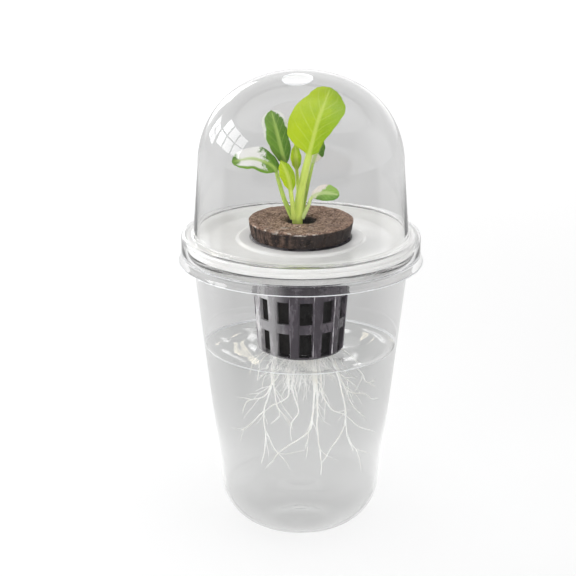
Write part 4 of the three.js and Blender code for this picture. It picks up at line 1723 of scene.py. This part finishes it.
class Fill(NamedTuple):
    """A soft lamp that nothing mirrors.

    Attributes:
        name: Its name.
        place: Where it stands, in metres.
        size: Its width and height in metres.
        power: Its power in watts.
    """

    name: str
    place: Corner
    size: Point
    power: float


@dataclass
class Studio:
    """Pale floor, white surroundings, window lamps and soft fills."""

    floor: float = 6.0
    paper: float = 0.28
    paper_mirrored: float = 0.1
    bounce: float = 0.85
    floor_glow: float = 0.65
    ambient: float = 0.45
    dimming: float = 0.29
    slats: float = 17.0
    slat_tilt: float = 9.0
    slat_glow: float = 3.0
    middle: Corner = (0.0, 0.0, 0.15)
    dome_height: float = 0.18
    window_distance: float = 0.9
    pane_share: Point = (0.86, 0.9)
    windows: tuple[Window, ...] = (
        Window("far_window", 112, 9, (0.27, 0.32), (2, 2), 2.6),
        Window("middle_window", 142.5, 11, (0.28, 0.24), (2, 2), 4.0),
        Window("near_window", 176, 21, (0.72, 0.38), (3, 2), 5.5),
    )
    fills: tuple[Fill, ...] = (
        Fill("overhead", (0.1, 0.0, 1.3), (0.9, 0.9), 4.7),
        Fill("key", (-0.8, 0.6, 0.65), (0.5, 0.5), 4.7),
        Fill("side_fill", (0.8, -0.5, 0.35), (0.35, 0.5), 3.5),
        Fill("front_left", (-0.6, -0.7, 0.3), (0.3, 0.5), 3.3),
        Fill("low_front", (0.0, -0.95, 0.1), (0.7, 0.18), 1.9),
    )

    @staticmethod
    def rays(graph: Graph) -> Rays:
        """Sorts the rays that reach the surroundings.

        Args:
            graph: The graph it is for.

        Returns:
            The masks.
        """
        camera = graph.node("ShaderNodeLightPath", output="Is Camera Ray")
        clear = camera.other("Is Transmission Ray")
        first = camera.other("Diffuse Depth") < 0.5
        straight = camera.other("Glossy Depth") < 0.5
        faces = camera.other("Transmission Depth")
        through = clear * straight * first
        mirrored = (camera.other("Is Reflection Ray") | clear * (1 - straight)) * first
        behind = through * (1 - (faces < 3))
        return Rays(camera * first + through, through, behind, mirrored, mirrored * (abs(faces - 4) < 0.5))

    def surroundings(self) -> None:
        """Makes the world: white to look at, dimmer in mirrors and as a light."""
        world = bpy.data.worlds.new("surroundings")
        bpy.context.scene.world = world
        graph = Graph(world)
        direction = graph.node("ShaderNodeTexCoord", output="Generated")
        across, depth, height = graph.parts(direction)
        rays = self.rays(graph)
        back = depth.between(0.72, 0.95) * (0.2 + 0.3 * height.between(0.22, 0.1))
        right = 0.3 * across.between(0.8, 0.88)
        high_back = 0.4 * height.between(0.3, 0.6) * depth.between(0.2, 0.5)
        mirror = 0.2 + 0.5 * depth.between(-0.55, 0.3) + back + right - high_back
        low_right = across.between(-0.04, 0.06) * height.between(0.38, 0.3)
        mirror = mirror + rays.deep * (1.9 * low_right - 0.55 * mirror)
        strength = rays.direct - self.dimming * rays.behind + mirror * rays.mirrored
        strength = strength + self.ambient * (1 - rays.direct - rays.mirrored)
        slats = (self.slats * across + self.slat_tilt * height).cosine().between(-0.2, 0.5)
        blind = slats * across.between(-0.02, -0.08) * across.between(-0.75, -0.55)
        blind = blind * depth.between(0.4, 0.5) * height.between(0.3, 0.36) * rays.deep
        colour = graph.mix(blind, grey(1.0), linear(255, 246, 222))
        strength = strength + self.slat_glow * blind
        light = graph.node("ShaderNodeBackground", {}, {"Color": colour, "Strength": strength})
        graph.finish(light, "ShaderNodeOutputWorld")

    def ground(self) -> None:
        """Makes the floor, which keeps the object's shadow."""
        shell = Shell()
        edge = self.floor * 500
        corners = ((-edge, -edge), (edge, -edge), (edge, edge), (-edge, edge))
        shell.add([Vector((x, y, -0.15)) for x, y in corners], [(0, 1, 2, 3)])
        floor = shell.to_object("floor")
        graph = Graph(bpy.data.materials.new("pale_floor"))
        place = graph.place()
        reach = graph.length(place)
        rays = self.rays(graph)
        plain = self.floor_glow + (1 - self.floor_glow) * reach.between(0.25, 1.4)
        seen = rays.direct - self.dimming * rays.behind
        strength = seen * plain + 0.1 * rays.through * reach.between(0.34, 0.05)
        mirror = 0.7 * graph.parts(place)[1].between(-0.08, 0.12) + 0.55 * reach.between(0.16, 0.07)
        strength = strength + rays.mirrored * mirror
        white = self.bounce - (self.bounce - self.paper) * rays.direct
        white = white - self.dimming * self.paper * rays.behind
        white = white - (self.bounce - self.paper_mirrored) * rays.mirrored
        paper = graph.node("ShaderNodeBsdfDiffuse", {}, {"Color": white})
        glow = graph.node("ShaderNodeEmission", {}, {"Color": grey(1.0), "Strength": strength})
        both = graph.node("ShaderNodeAddShader", {}, {0: paper, 1: glow})
        floor.data.materials.append(graph.finish(both))

    @staticmethod
    def lamp(name: str, place: Sequence[float], aim: Sequence[float], size: Point, power: float,
             mirrored: bool = False) -> None:
        """Adds an area lamp.

        Args:
            name: Its name.
            place: Where it stands, in metres.
            aim: What it looks at.
            size: Its width and height.
            power: Its power in watts.
            mirrored: Whether glossy pieces mirror it.
        """
        light = bpy.data.lights.new(name, "AREA")
        light.shape = "RECTANGLE"
        light.size, light.size_y = size
        light.energy = power
        light.cycles.use_multiple_importance_sampling = mirrored
        lamp = bpy.data.objects.new(name, light)
        lamp.location = place
        lamp.rotation_euler = (Vector(aim) - Vector(place)).to_track_quat("-Z", "Y").to_euler()
        lamp.visible_camera = False
        lamp.visible_transmission = False
        lamp.visible_glossy = mirrored
        bpy.context.scene.collection.objects.link(lamp)

    def window(self, window: Window) -> None:
        """Adds a window, pane by pane."""
        turn, lift = math.radians(window.azimuth), math.radians(window.elevation)
        out = Vector((math.cos(turn) * math.cos(lift), math.sin(turn) * math.cos(lift), math.sin(lift)))
        across = Vector((0, 0, 1)).cross(out).normalized()
        up = out.cross(across)
        middle = Vector((0, 0, self.dome_height)) + out * self.window_distance
        columns, rows = window.panes
        wide, tall = window.size[0] / columns, window.size[1] / rows
        pane = (wide * self.pane_share[0], tall * self.pane_share[1])
        power = window.glow * math.pi * pane[0] * pane[1]
        for column in range(columns):
            for row in range(rows):
                spot = middle + across * (wide * (column + 0.5 - columns / 2))
                spot += up * (tall * (row + 0.5 - rows / 2))
                self.lamp(f"{window.name}_{column}_{row}", spot, spot - out, pane, power, True)

    def build(self) -> None:
        """Makes the floor, the surroundings and the lamps."""
        self.ground()
        self.surroundings()
        for window in self.windows:
            self.window(window)
        for fill in self.fills:
            self.lamp(fill.name, fill.place, self.middle, fill.size, fill.power)
        LOG.info("floor, surroundings and lamps are in place")


@dataclass
class PhotoCamera:
    """The camera at the photograph's place, for a square picture."""

    place: tuple[float, float, float] = (0.0, -0.700, 0.342)
    pitch: float = 18.47
    turn: float = 0.455
    focal: float = 106.25

    def build(self) -> None:
        """Makes the camera and lets the scene use it."""
        lens = bpy.data.cameras.new("photo_camera")
        lens.lens = self.focal
        lens.sensor_width = 36.0
        camera = bpy.data.objects.new("photo_camera", lens)
        camera.location = self.place
        camera.rotation_euler = (math.radians(90 - self.pitch), 0, math.radians(self.turn))
        bpy.context.scene.collection.objects.link(camera)
        bpy.context.scene.camera = camera
        LOG.info("camera stands at %s", self.place)


def main() -> None:
    """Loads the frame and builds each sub-assembly in order."""
    logging.basicConfig(level=logging.INFO, format="%(message)s")
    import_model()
    scene = bpy.context.scene
    scene.view_settings.view_transform = "Standard"
    scene.cycles.caustics_reflective = False
    PhotoCamera().build()
    cup = Cup()
    pot = NetPot()
    cup.build(ClearPlastic("clear_cup_plastic").material())
    Water(cup).build(WaterFinish().material(), PaintedGlowEdge("waterline_painted_highlight", 0.25).material())
    PlantingDisc().build(WhitePlastic().material())
    pot.build(BlackPlastic().material(), RibEdgeHighlight().material())
    GrowPlug(pot).build(Peat().material())
    DomeLid().build(ClearPlastic("clear_dome_plastic").material(), PaintedGlowEdge().material())
    Seedling().build()
    Roots(cup).build(RootFinish().material())
    Studio().build()


if __name__ == "__main__":
    main()
